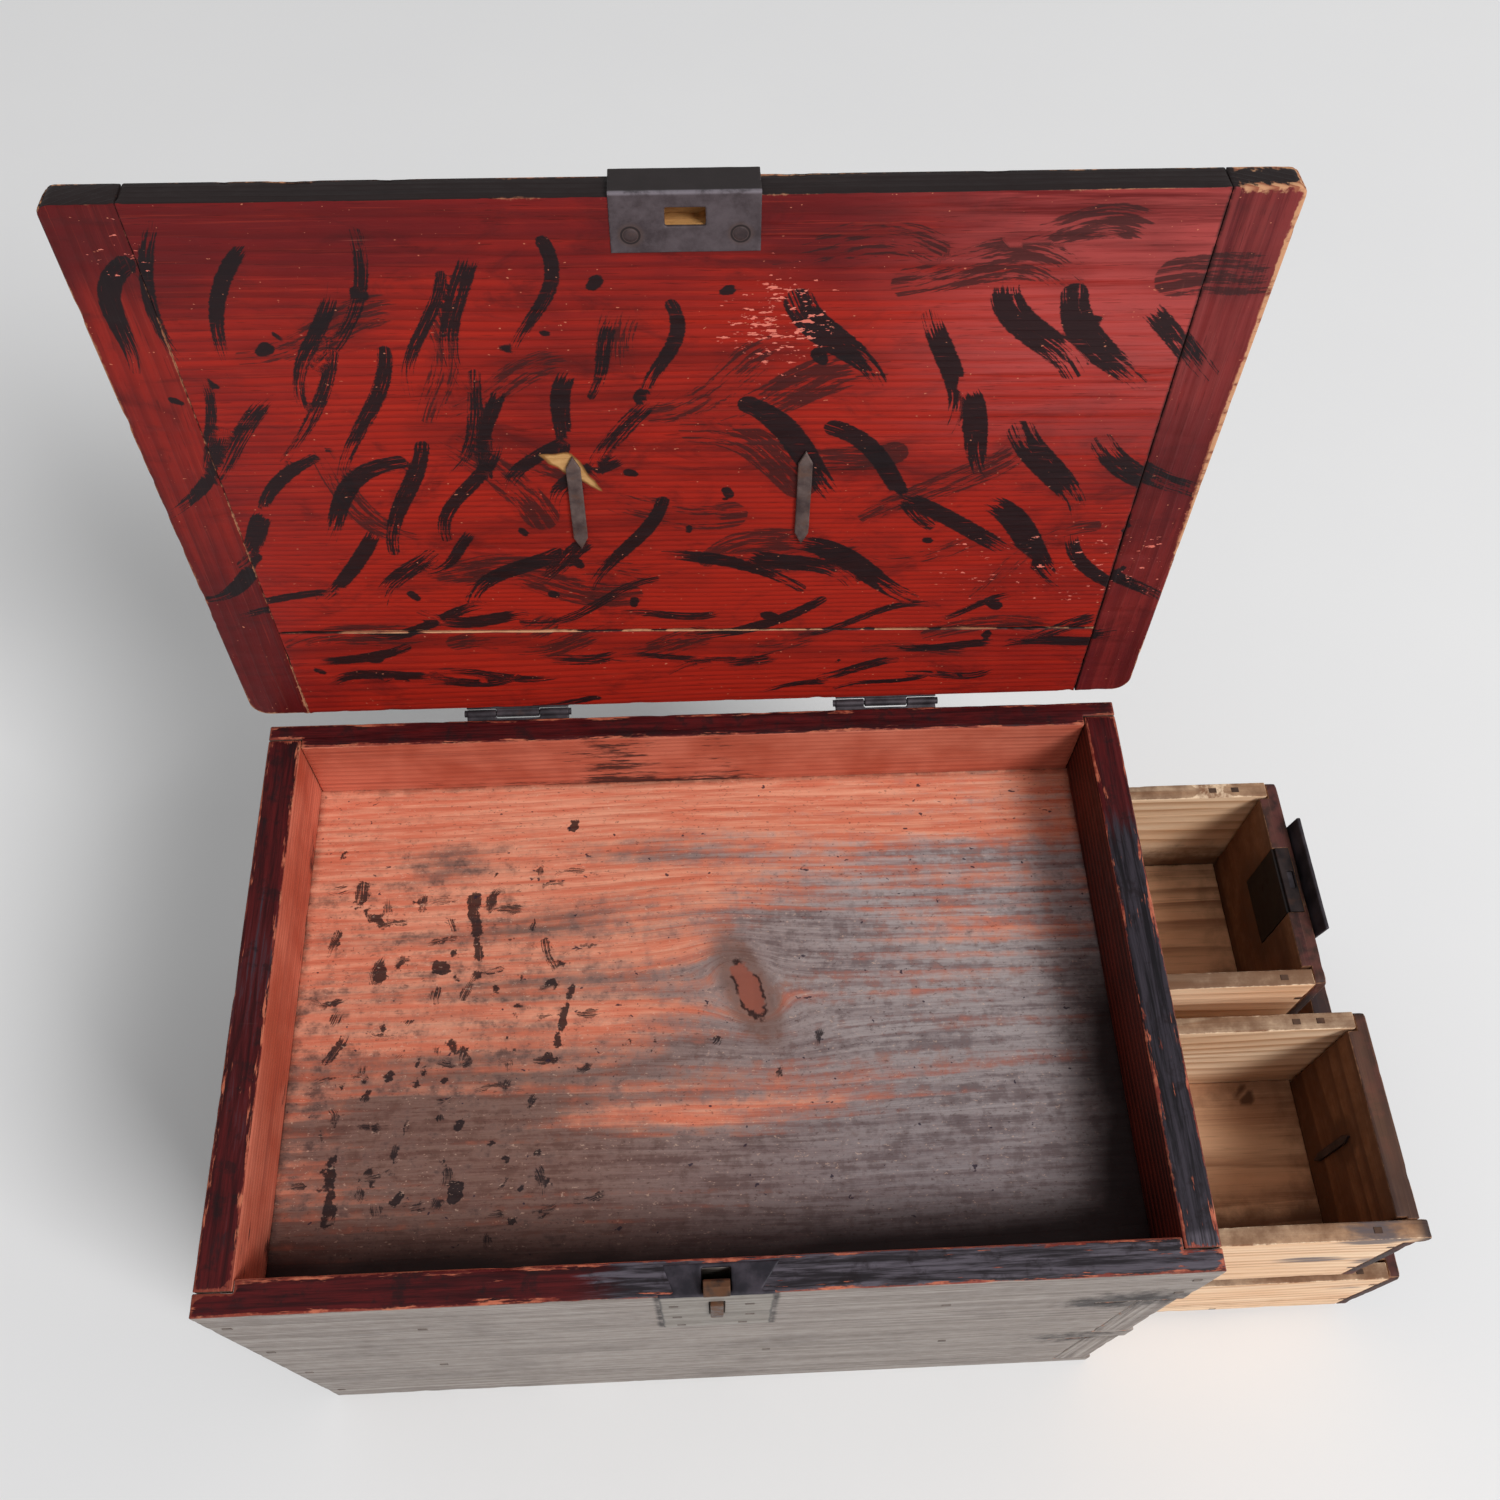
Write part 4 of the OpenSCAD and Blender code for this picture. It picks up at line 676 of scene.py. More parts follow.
# Rim, inside of the tray, and how black the rim is: the maroon gives way at the right and the front right.
# Soot lies round the lock plate, in the overrun saw cuts and on the back wall of the tray. The tray's wall is
# where the board has this value on this axis
def caseZones(axis, value):
    def zones(p, arris):
        x, y, z = p.T
        rim = (z > rimZ - onFace).astype(float)
        inside = ((np.abs(p[:, axis] - value) < onFace) & (z > inner["floor"] - 3)).astype(float)
        black = np.maximum(ease(-70, -10, x) * ease(-98, -108, y), ease(92, 28, y) * ease(168, 174, x))
        blotches = ease(0.5, 0.7, cloud(p, (20, 60, 20), 43))
        black = np.maximum(black, 0.3 * ease(-170, -176, x) * blotches)
        aroundPlate = ease(5, 1, np.abs(np.abs(x - plateMiddle) - plateHalf)) * ease(163, 172, z)
        along = np.clip((x - 153) / 25, 0, 1)
        crack = np.hypot(np.maximum(np.abs(x - 165.5) - 12.5, 0), z - 179 - 7 * along)
        crack = ease(1.5, 0.0, crack - 5.5 + 4 * along)
        halo = ease(34, 4, np.hypot((x - 164) / 1.5, z - 184))
        halo = halo + 0.8 * ease(26, 4, np.hypot((x - 160) / 1.6, z - 88))
        worn = 0.42 * halo + 0.9 * crack + 0.3 * ease(60, 190, x)
        backWall = np.exp(-((x + 42) / 30) ** 2) + 0.6 * np.exp(-((x + 98) / 22) ** 2)
        backWall = np.maximum(backWall, 0.5 * np.exp(-((x - 30) / 40) ** 2)) * (y > 112)
        foot = ease(inner["floor"] + 9, inner["floor"] + 1, z)
        leftWall = (x < -170) * ease(0.5, 0.7, cloud(p, (9, 16, 9), 45))
        soot = (y < front[0, 1] + 0.5) * np.clip(0.62 * aroundPlate + worn, 0, 1)
        soot = soot + inside * (0.04 + 0.4 * backWall + 0.35 * foot + 0.3 * leftWall)
        return {"zone": columns(rim, inside, np.clip(black, 0, 1)), "soot": soot}
    return zones


# Hidden boards: one stain all over, and lacquer on the end that shows between the drawers
def hiddenZones(stain, end):
    def zones(p, arris):
        lacquer = 0.85 * (p[:, 0] > end - onFace)
        return {"zone": columns(stain, lacquer, 0)}
    return zones


# The joints' cuts: housings for the left board and the apron, notches round the corner post with overrun saw
# cuts, the catch's pocket, and the mortise in the apron into which the drawer's bolt rises
leftHousing = cut((-far, left[1, 0]), left[:, 1], (-far, far))
apronHousing = cut((apron[0, 0], far), apron[:, 1], (apron[0, 2], far))
notchX, kerfHalf = postNotch["x"], postNotch["kerf"] / 2
kerfSpan = (notchX - postNotch["kerfLength"], notchX + 1)
pocketSpan = (plateMiddle - catchPocket["half"], plateMiddle + catchPocket["half"])
frontCuts = [leftHousing, apronHousing,
             cut((notchX, far), (-far, far), (postNotch["low"], rail[0, 2])),
             cut((notchX, far), (-far, far), (rail[1, 2], apron[0, 2])),
             cut(kerfSpan, (-far, far), (apron[0, 2] - kerfHalf, apron[0, 2] + kerfHalf)),
             cut(kerfSpan, (-far, far), (rail[0, 2] - kerfHalf, rail[0, 2])),
             cut(pocketSpan, (-far, catchPocket["back"]), (catchPocket["low"], far))]
bolt = boxOf("drawer_lock_bolt") - (keeper["drawerOut"], 0, 0)      # where the drawer is shut
play = np.array([-1, 1]) * keeper["play"]
keeperCut = cut(bolt[:, 0] + play, bolt[:, 1] + play, (apron[0, 2] - 1, apron[0, 2] + keeper["high"]))
postCut = cut((-far, far), (-far, inner["front"]), rail[:, 2])
railCut = cut((notchX, far), (-far, post[1, 1]), (-far, far))

caseWood = dict(radius=1.1, chip=0.9, relief=0.16, body="case")
grayBoard = dict(caseWood, slot="gray_wood", finish=caseGray)
darkBoard = dict(caseWood, slot="dark_lacquer", finish=caseDark)
apronBoard = dict(caseWood, slot="dark_lacquer", finish=apronDarkShadedInside)
for board in (
        dict(grayBoard, name="frontBoardWood", nodes=["front_board"], grain=(0, 2, 1), step=3.2, seed=11,
             cuts=frontCuts, fields=caseZones(1, inner["front"])),
        dict(darkBoard, name="backBoardWood", nodes=["back_board"], grain=(0, 2, 1), step=3.2, seed=12,
             cuts=frontCuts[:2], fields=caseZones(1, inner["back"])),
        dict(darkBoard, name="leftBoardWood", nodes=["left_board"], grain=(1, 2, 0), step=3.2, seed=13,
             fields=caseZones(0, inner["left"])),
        dict(apronBoard, name="rightApronWood", nodes=["right_apron"], grain=(1, 2, 0), step=2.4, seed=14,
             cuts=[keeperCut], fields=caseZones(0, inner["right"])),
        dict(grayBoard, name="cornerPostWood", nodes=["corner_post"], grain=(2, 0, 1), step=3.0, seed=15,
             cuts=[postCut], fields=caseZones(1, far)),
        dict(grayBoard, name="midRailWood", nodes=["mid_rail"], grain=(1, 0, 2), step=3.0, seed=16,
             cuts=[railCut], fields=caseZones(1, far))):
    timber(board)

guides = boxOf("drawer_guides")
guideHigh = 22.0
guideSolids = [cut(guides[:, 0], guides[:, 1], (z, z + guideHigh)) for z in (guides[0, 2], rail[1, 2])]
dividerCut = cut((apron[0, 0], far), (-far, far), (apron[0, 2], far))
hidden = dict(radius=0.9, chip=0.3, relief=0.1, body="case", slot="bare_wood", finish=softwoodDark, step=9.0)
for board in (
        dict(hidden, name="shelfWood", nodes=["drawer_shelf"], grain=(0, 1, 2), seed=17,
             fields=hiddenZones(0.3, far)),
        dict(hidden, name="dividerWood", nodes=["drawer_divider"], grain=(0, 2, 1), seed=18,
             cuts=[dividerCut], fields=hiddenZones(0.2, divider[1, 0])),
        dict(hidden, name="guideWood", nodes=["drawer_guides"], grain=(0, 2, 1), seed=19,
             solids=guideSolids, fields=hiddenZones(0.3, far)),
        dict(hidden, name="bottomWood", nodes=["bottom_board"], grain=(0, 1, 2), seed=20,
             fields=hiddenZones(0.35, bottom[1, 0]))):
    timber(board)
print("case boards made")


# brush marks

# Strokes strewn in rows: distance from the hinges or place along Y, span along X, number, lean in degrees
# with its spread, lengths, half widths and how dry they run
def strewStrokes(rows, seed):
    rng = np.random.default_rng(seed)
    made = []
    for v, (low, high), count, slant, spread, lengths, halves, dry in rows:
        for n in range(count):
            along = low + (n + rng.uniform(0.2, 0.8)) / count * (high - low)
            middle = np.array([along, v + rng.uniform(-15, 15)])
            lean = math.radians(slant + rng.uniform(-1, 1) * spread)
            length = rng.uniform(*lengths)
            reach = np.array([math.cos(lean), math.sin(lean)]) * length / 2
            dryness = (rng.uniform(0.4, 0.85), dry + rng.uniform(-0.12, 0.05), rng.uniform(0.46, 0.7))
            bow, curl = rng.uniform(-0.13, 0.13) * length, rng.uniform(-0.13, 0.13) * length
            half, first, last = rng.uniform(*halves), rng.uniform(0.75, 1.0), rng.uniform(0.55, 1.0)
            made.append(dict(start=middle + reach, end=middle - reach, bow=bow, curl=curl, half=half,
                             first=first, last=last, dry=dryness))
    return made


# A single dab of ink: from here, to there, half width, dryness
def dab(start, end, half, dry):
    return dict(start=np.array(start, float), end=np.array(end, float), bow=0.0, curl=0.0, half=half,
                first=1.0, last=0.8, dry=(dry,) * 3)


def strewDabs(x, v, count, half, dry, seed):
    rng = np.random.default_rng(seed)
    middles = columns(rng.uniform(*x, count), rng.uniform(*v, count))
    reaches = rng.uniform(-1.5, 1.5, (count, 2))
    return [dab(m + r, m - r, rng.uniform(*half), dry) for m, r in zip(middles, reaches)]


# Signed distance in mm to the strokes, with the lane across the brush, its dryness and the mm along it: each
# stroke is a cubic curve, blunt at its start and tapered to its end
def strokeFields(x, v, marks):
    ink, (lane, dry, sweep) = np.full(len(x), 50.0), np.zeros((3, len(x)))
    t = np.linspace(0, 1, 33)[:, None]
    bulge, margin = 1.33, 7.0
    for number, mark in enumerate(marks):
        way = mark["end"] - mark["start"]
        side = np.array([-way[1], way[0]]) / max(np.linalg.norm(way), 1)
        kneeOne = mark["start"] + way / 3 + side * (mark["bow"] + mark["curl"]) * bulge
        kneeTwo = mark["end"] - way / 3 + side * (mark["bow"] - mark["curl"]) * bulge
        curve = (1 - t) ** 3 * mark["start"] + 3 * t * (1 - t) ** 2 * kneeOne
        curve = curve + 3 * t ** 2 * (1 - t) * kneeTwo + t ** 3 * mark["end"]
        low, high = curve.min(axis=0) - mark["half"] - margin, curve.max(axis=0) + mark["half"] + margin
        near = np.flatnonzero((x > low[0]) & (x < high[0]) & (v > low[1]) & (v < high[1]))
        if not len(near):
            continue
        at = columns(x[near], v[near])
        step = curve[1:] - curve[:-1]
        offset = at[:, None, :] - curve[None, :-1, :]
        part = np.clip((offset * step).sum(axis=2) / (step ** 2).sum(axis=1), 0, 1)
        gap = offset - part[:, :, None] * step
        length = np.linalg.norm(gap, axis=2)
        best = length.argmin(axis=1)
        rows = np.arange(len(near))
        along = (best + part[rows, best]) / len(step)
        cross = step[best, 0] * offset[rows, best, 1] - step[best, 1] * offset[rows, best, 0]
        aside = cross / np.linalg.norm(step[best], axis=1)
        width = mark["first"] + (1 - mark["first"]) * ease(0, 0.3, along)
        width = mark["half"] * width * (1 - (1 - mark["last"]) * ease(0.4, 1, along))
        signed = length[rows, best] - width
        closer = signed < ink[near]
        first, base, last = mark["dry"]
        dryness = base + (first - base) * ease(0.22, 0.0, along)
        dryness = dryness + (last - base) * ease(0.5, 1.0, along)
        for layer, values in ((ink, signed), (lane, aside / mark["half"] + number * 3.7),
                              (dry, dryness), (sweep, along * np.linalg.norm(way) + number * 40.0)):
            layer[near] = np.where(closer, values, layer[near])
    return ink, lane, dry, sweep


# The floor of the tray, from wall to wall
trayKnot = dict(x=19.0, y=8.0, wide=5.5, tall=12.5, lean=0.35)
# Broad patches of the grey wash: x, y, reach along X and Y, amount
washPatches = [
    (-118, 74, 26, 12, 0.55), (-5, 75, 40, 7, 0.4), (52, 32, 34, 16, 0.35), (60, 0, 40, 24, 0.15),
    (-70, 42, 36, 9, 0.25), (10, -45, 75, 7, -0.42), (-127, -48, 26, 14, 0.45), (-62, -66, 60, 8, 0.35),
    (-60, 5, 50, 16, 0.12), (110, 60, 60, 25, 0.1), (-150, 95, 40, 20, -0.3), (0, 104, 170, 8, -0.25),
    (-45, -8, 40, 10, -0.22), (-78, -40, 26, 7, 0.3), (26, 26, 22, 14, 0.3), (60, 62, 60, 16, 0.2),
    (-46, 4, 24, 8, -0.25)]
trayRows = [(v, (-168, -62), count, 84, 24, (2, 14), (0.8, 2.0), 0.47)
            for v, count in ((64, 4), (40, 6), (14, 7), (-12, 7), (-38, 6), (-62, 6), (-84, 5))]
trayRows += [(v, (-168, -40), 6, 2, 10, (6, 22), (0.7, 1.6), 0.5) for v in (56, 24, -6, -34, -70)]
trayMarks = strewStrokes(trayRows, 31)
trayMarks += strewStrokes([(-28, (-60, 60), 5, 80, 20, (2, 8), (0.6, 1.6), 0.4)], 32)
trayMarks += strewDabs((-164, -60), (-100, 80), 46, (0.3, 1.5), 0.3, 33)
trayMarks += [dab(*mark) for mark in (
    ((-141, 20), (-141, 21), 3.2, 0.15), ((-115, 23), (-116, 24), 3.6, 0.15),
    ((-103, -74), (-104, -75), 3.4, 0.1), ((-57, 92), (-58, 90), 2.2, 0.2),
    ((-102, 55), (-99, 28), 2.6, 0.36), ((-154, -60), (-154, -84), 2.4, 0.32),
    ((-58, 12), (-64, -14), 1.6, 0.3), ((-34, -14), (-35, -15), 1.8, 0.2),
    ((-152, 62), (-152, 56), 3.4, 0.45), ((-98, 20), (-99, 18), 2.4, 0.2))]


# Grey wash, dirt, the knot, ink, and grime with painted shade along the walls; the rings flow round the knot
# like water round a post
def trayFields(p, arris):
    x, y = p[:, 0], p[:, 1]
    wash = 0.64 + 0.20 * x / 175 - 0.50 * y / 112
    for middleX, middleY, reachX, reachY, amount in washPatches:
        wash = wash + amount * np.exp(-((x - middleX) / reachX) ** 2 - ((y - middleY) / reachY) ** 2)
    dirt = 0.3 + 0.7 * ease(-20, -110, x) + 0.4 * ease(-50, -100, y) - 0.5 * ease(40, 100, y)
    across, along = y - trayKnot["y"], x - trayKnot["x"] + trayKnot["lean"] * (y - trayKnot["y"])
    knot = 7.0 * np.hypot(along / trayKnot["wide"], across / trayKnot["tall"])
    apart = np.maximum(across ** 2 + along ** 2, 1.0)
    flow = across * (1 - np.minimum(1, trayKnot["tall"] ** 2 / apart))
    grain = columns(x + 300, flow + 26.0, 34.0) * mm
    ink, lane, dry, sweep = strokeFields(x, y, trayMarks)
    # grime and painted shade: darkest at the front wall and in the right front corner
    grime = ease(-78, -109, y) * (0.75 + 0.25 * ease(0, 100, x))
    grime = np.maximum(grime, 0.8 * ease(144, 174, x) * ease(70, -40, y))
    grime = grime + 0.5 * ease(14, 2, np.hypot(x + 175, y + 111))
    grime = grime + 0.7 * ease(70, 10, np.hypot(x - 175, y + 112))
    grime = grime + 0.35 * ease(-92, -106, y) + 0.3 * ease(158, 172, x) * ease(40, -20, y)
    grime = np.clip(grime * (0.7 + 0.5 * cloud(p, (30, 12, 30), 46)), 0, 0.95)
    return {"wash": columns(wash, np.clip(dirt, 0.05, 1.0), knot), "grain": grain,
            "brush": columns(ink, lane, dry), "sweep": columns(sweep, grime, 0)}


def trayDents(drawn, worn):
    top = drawn[:, 2] > inner["floor"] - onFace
    dents = 0.5 * ease(0.66, 0.85, cloud(drawn, 14.0, 31, 2))
    dents += 0.25 * ease(0.6, 0.8, cloud(drawn, (40, 3, 9), 32, 2))
    for x, y in ((150, 22), (150, 14), (152, -2), (-88, -42)):      # old nail holes
        dents += 1.6 * np.exp(-((drawn[:, 0] - x) ** 2 + (drawn[:, 1] - y) ** 2) / 1.4)
    worn[:, 2] -= dents * top
    return worn


overlap = 0.5      # of the tray's floor with its walls
floorBox = cut((inner["left"] - overlap, inner["right"] + overlap),
               (inner["front"] - overlap, inner["back"] + overlap), floor[:, 2])
timber(dict(caseWood, name="trayFloorWood", nodes=["tray_floor"], slot="tray_lacquer", grain=(0, 1, 2),
            solids=[floorBox], step=(1.7, 1.6, 6.0), finish=trayCoral, seed=21, fields=trayFields,
            dent=trayDents))
print("tray made")


# The lid is drawn shut, then turned open about the hinge axis. Its joint runs aslant between the two boards
lid = dict(axisY=127.85, axisZ=238.0, angle=95.75, low=238.5, high=250.0, hingeY=124.75, length=255.2,
           half=196.85, field=172.35, jointLeft=55.0, jointRight=44.0, jointGap=0.3, corner=8.0,
           frontCorner=4.0)
middleV = (lid["jointLeft"] + lid["jointRight"]) / 2
frontY = lid["hingeY"] - lid["length"]


def openLid(p, way=-1):
    turn = math.radians(way * lid["angle"])
    y, z = p[:, 1] - lid["axisY"], p[:, 2] - lid["axisZ"]
    return columns(p[:, 0], lid["axisY"] + y * math.cos(turn) - z * math.sin(turn),
                   lid["axisZ"] + y * math.sin(turn) + z * math.cos(turn))


def jointAt(x):
    share = (x + lid["field"]) / (2 * lid["field"])
    return lid["jointLeft"] + (lid["jointRight"] - lid["jointLeft"]) * share


strokes = strewStrokes([
    (204, (-194, -4), 10, 76, 12, (34, 62), (1.8, 3.6), 0.4),
    (168, (-188, -6), 8, 66, 14, (40, 66), (1.8, 3.6), 0.41),
    (134, (-192, -20), 7, 56, 18, (34, 60), (1.9, 3.8), 0.4),
    (96, (-196, -10), 8, 44, 22, (30, 58), (1.9, 3.8), 0.4),
    (196, (34, 190), 5, 112, 22, (40, 62), (3.4, 6.4), 0.38),
    (148, (18, 192), 5, 130, 24, (40, 66), (3.2, 6.6), 0.38),
    (100, (-2, 184), 6, 146, 16, (44, 74), (3.0, 6.0), 0.39),
    (60, (-178, 168), 9, 14, 16, (38, 66), (1.8, 3.6), 0.43),
    (34, (-170, 160), 9, 10, 14, (32, 62), (1.6, 3.4), 0.43),
    (16, (-160, 150), 7, 6, 10, (28, 54), (1.4, 3.0), 0.45),
], 5) + strewDabs((-180, 180), (14, 226), 36, (0.8, 2.8), 0.25, 6)
smears = strewStrokes([
    (190, (-130, 60), 6, 40, 60, (40, 70), (4.0, 9.0), 0.55),
    (136, (-140, 110), 7, -20, 60, (40, 80), (4.0, 9.0), 0.56),
    (92, (-120, 150), 7, 20, 40, (36, 70), (3.0, 8.0), 0.56),
    (44, (-160, 160), 7, 4, 14, (30, 60), (3.0, 7.0), 0.55),
    (228, (30, 190), 4, 0, 8, (30, 70), (5.0, 9.0), 0.54)], 8)
labelCorners = np.array([(-57, 150), (-33, 130), (-43, 150)], float)


# Signed distance in mm to the torn label, a triangle given clockwise as seen from inside
def labelGap(x, v):
    gap = np.full(len(x), -50.0)
    for a, b in zip(labelCorners, np.roll(labelCorners, -1, axis=0)):
        way = (b - a) / np.linalg.norm(b - a)
        gap = np.maximum(gap, way[1] * (x - a[0]) - way[0] * (v - a[1]))
    return gap


# Both boards are drawn with a straight joint at the middle, and shaped to the slanting one after that
def lidFields(cleat):
    def fields(p, arris):
        x, v, z = p[:, 0], lid["hingeY"] - p[:, 1], p[:, 2]
        ink, lane, dry, sweep = strokeFields(x, v, strokes)
        smear, smearLane, smearDry, smearSweep = strokeFields(x, v, smears)
        wide = cloud(p, (60, 45, 30), 41)
        shade = 0.08 + 0.7 * ease(205, 246, v) + 0.3 * ease(60, 190, x) + 0.3 * ease(-110, -180, x)
        shade = shade + 0.4 * (wide - 0.5) + 0.12 * ease(110, 190, v) + (0.2 if cleat else 0.0)
        shade = shade + (x < -lid["field"]) * (0.6 * ease(120, 70, v) - 0.3)
        # painted sheen at the upper right, weaker on the right cleat
        paintedSheen = 0.6 * ease(40, 130, x) * ease(120, 200, v) * np.where(x > lid["field"], 0.45, 1.0)
        # chips gather in three places: beyond the label, at the right and in the left front corner
        chips = np.maximum(ease(1.35, 0.2, np.hypot((x - 30) / 30, (v - 206) / 36)),
                           0.7 * ease(130, 100, v) * ease(58, 70, v) * ease(60, 110, x))
        chips = np.maximum(chips, 0.75 * ease(24, 6, np.hypot(x + 176, v - 236)))
        label = labelGap(x, v) + cloud(p, 5.0, 42, 2) * 3 - 1.5
        raw = (nearMortise(x, v) & (z > lid["low"] - 0.1) & (z < lid["low"] + 8.5)).astype(float)
        outside = (z > lid["low"] + 0.3) * (1 - raw)
        seam = np.minimum(np.abs(np.abs(x) - lid["field"]) + np.where(x < 0, 0.7, 0.0), 50.0)
        if not cleat:
            seam = np.minimum(seam, np.abs(v - middleV))
        # the arris is worn in long places of the front edge and down the right-hand one, not at the seams
        patch = ease(0.42, 0.6, cloud(p, (34, 34, 34), 44, 2)) * ease(lid["length"] - 9, lid["length"] - 2, v)
        side = ease(80, 95, v) * ease(lid["half"] - 6, lid["half"] - 1, x)
        near = arris * (1 - 0.6 * np.maximum(patch, 1.2 * side)) + 2.5 * ease(1.6, 0.5, seam) * (x > 0)
        near = near - 1.6 * side * ease(0.3, 0.55, cloud(p, 7.0, 49, 3)) * (arris < 2.5)
        if not cleat:      # a pale worn line along the slanting joint
            pale = ease(1.3, 0.5, v - middleV) * (v > middleV - onFace) * ease(-150, -138, x)
            near = near - 3.4 * pale * ease(0.34, 0.44, cloud(p, (9, 60, 60), 47, 2)) * (arris < 1.4)
        return {"paint": columns(shade, chips, label), "brush": columns(ink, lane, dry),
                "scrub": columns(smear, smearLane, smearDry), "arris": near,
                "sweep": columns(sweep, smearSweep, paintedSheen), "zone": columns(outside, raw, seam)}
    return fields


def nearMortise(x, v):
    return (v > 242) & (v < 253.5) & (np.abs(x - plateMiddle) < 7)


# The front edge of the lid is a little wavy, the raw mortise behind the strike plate is ragged, the cleats'
# seams are tight, and the inside is scuffed
def lidDents(drawn, worn):
    x, v, z = drawn[:, 0], lid["hingeY"] - drawn[:, 1], drawn[:, 2]
    worn[:, 1] += (v > lid["length"] - onFace) * 0.8 * cloud(drawn, (34, 400, 400), 51, 3)
    raw = nearMortise(x, v) & (z > lid["low"] + 0.4) & (z < lid["low"] + 8.2)
    tear = np.stack([cloud(drawn, 2.6, 52 + n, 2) - 0.5 for n in range(3)], axis=1)
    worn += 1.4 * raw[:, None] * tear
    atSeam = (np.abs(np.abs(x) - lid["field"]) < 1.2) & (z < lid["low"] + 2)
    keep = np.where(atSeam, np.where(x < 0, 0.3, 0.6), 1.0)
    worn = drawn + (worn - drawn) * keep[:, None]
    worn[:, 2] += 0.35 * ease(0.62, 0.8, cloud(drawn, (26, 2.6, 9), 55, 2)) * (z < lid["low"] + onFace)
    return worn


# Scales the distance from the hinged edge, or from the front edge, so that the boards meet in the slanting
# joint
def rearShape(p):
    v = (lid["hingeY"] - p[:, 1]) * (jointAt(p[:, 0]) - lid["jointGap"] / 2) / middleV
    return columns(p[:, 0], lid["hingeY"] - v, p[:, 2])


def mainShape(p):
    share = (lid["length"] - jointAt(p[:, 0]) - lid["jointGap"] / 2) / (lid["length"] - middleV)
    return columns(p[:, 0], frontY + (p[:, 1] - frontY) * share, p[:, 2])


# Rounds the square corners of an outline in circles of radius r. The outline is given by its middle and half
# size along two axes; a half size of far leaves the corners at that side alone
def roundOff(p, axes, middle, half, r):
    away = p[:, axes] - np.asarray(middle)
    inside = np.asarray(half) - r
    past = np.abs(away) - inside
    corner = (past > 0).all(axis=1, keepdims=True)
    length = np.maximum(np.linalg.norm(past, axis=1, keepdims=True), 1e-6)
    scale = past.max(axis=1, keepdims=True) / length
    p = p.copy()
    p[:, axes] = np.where(corner, middle + np.sign(away) * (inside + past * scale), p[:, axes])
    return p


# The outer corners of a cleat are rounded, more at the hinges
def cleatShape(p):
    middle = lid["hingeY"] - lid["length"] / 2
    r = np.where(p[:, 1:2] > middle, lid["corner"], lid["frontCorner"])
    return roundOff(p, [0, 1], (0.0, middle), (lid["half"], lid["length"] / 2), r)


lidWood = dict(radius=1.0, chip=1.1, relief=0.14, body="lid", dent=lidDents, place=openLid)
redBoard = dict(lidWood, slot="red_lacquer", grain=(0, 1, 2), step=(1.45, 1.45, 4.0), finish=lidRed,
                fields=lidFields(False))
cleat = dict(lidWood, slot="dark_lacquer", grain=(1, 0, 2), step=(1.5, 1.5, 4.0), fields=lidFields(True),
             shape=cleatShape)
lidY, lidZ, jointY = (frontY, lid["hingeY"]), (lid["low"], lid["high"]), lid["hingeY"] - middleV
strikeMortise = cut((-5.9, 7.1), (-127.65, -119.45), (0, lid["low"] + 7.6))
for board in (
        dict(redBoard, name="lidMainBoardWood", nodes=["lid_main_board"], seed=22, shape=mainShape,
             solids=[cut((-lid["field"], lid["field"]), (frontY, jointY), lidZ)], cuts=[strikeMortise],
             pith=(300.0, 150.0, -310.0)),
        dict(redBoard, name="lidRearBoardWood", nodes=["lid_rear_board"], seed=23, shape=rearShape,
             solids=[cut((-lid["field"], lid["field"]), (jointY, lid["hingeY"]), lidZ)],
             pith=(700.0, -40.0, -300.0)),
        dict(cleat, name="lidLeftCleatWood", nodes=["lid_left_cleat"], seed=23, finish=leftCleatRed,
             solids=[cut((-lid["half"], -lid["field"]), lidY, lidZ)]),
        dict(cleat, name="lidRightCleatWood", nodes=["lid_right_cleat"], seed=25, finish=rightCleatMaroon,
             solids=[cut((lid["field"], lid["half"]), lidY, lidZ)])):
    timber(board)
print("lid made")


# drawers

# A drawer's front: lacquered face, top and ends, darker inside, most in an oval round the lock or the pin and
# towards the foot
def frontZones(bounds, hollow, topCoat):
    face, low, high = bounds[1, 0], bounds[0, 2], bounds[1, 2]
    middle = bounds[:, 1].mean()

    def zones(p, arris):
        x, y, z = p.T
        lacquer = np.maximum(x > face - onFace, topCoat * (z > high - onFace)).astype(float)
        lacquer = np.maximum(lacquer, 0.9 * ((y < bounds[0, 1] + onFace) | (y > bounds[1, 1] - onFace)))
        inside = (x < face - 6).astype(float) * (z < high - onFace)
        rim = np.hypot((y - middle) / hollow[0], (z - low - 0.6 * (high - low)) / hollow[1])
        stain = inside * np.clip(0.45 + 0.6 * ease(1.3, 0.7, rim) + 0.4 * ease(low + 30, low, z), 0, 1.2)
        return {"zone": columns(np.maximum(stain, 0.15), lacquer, 0)}
    return zones
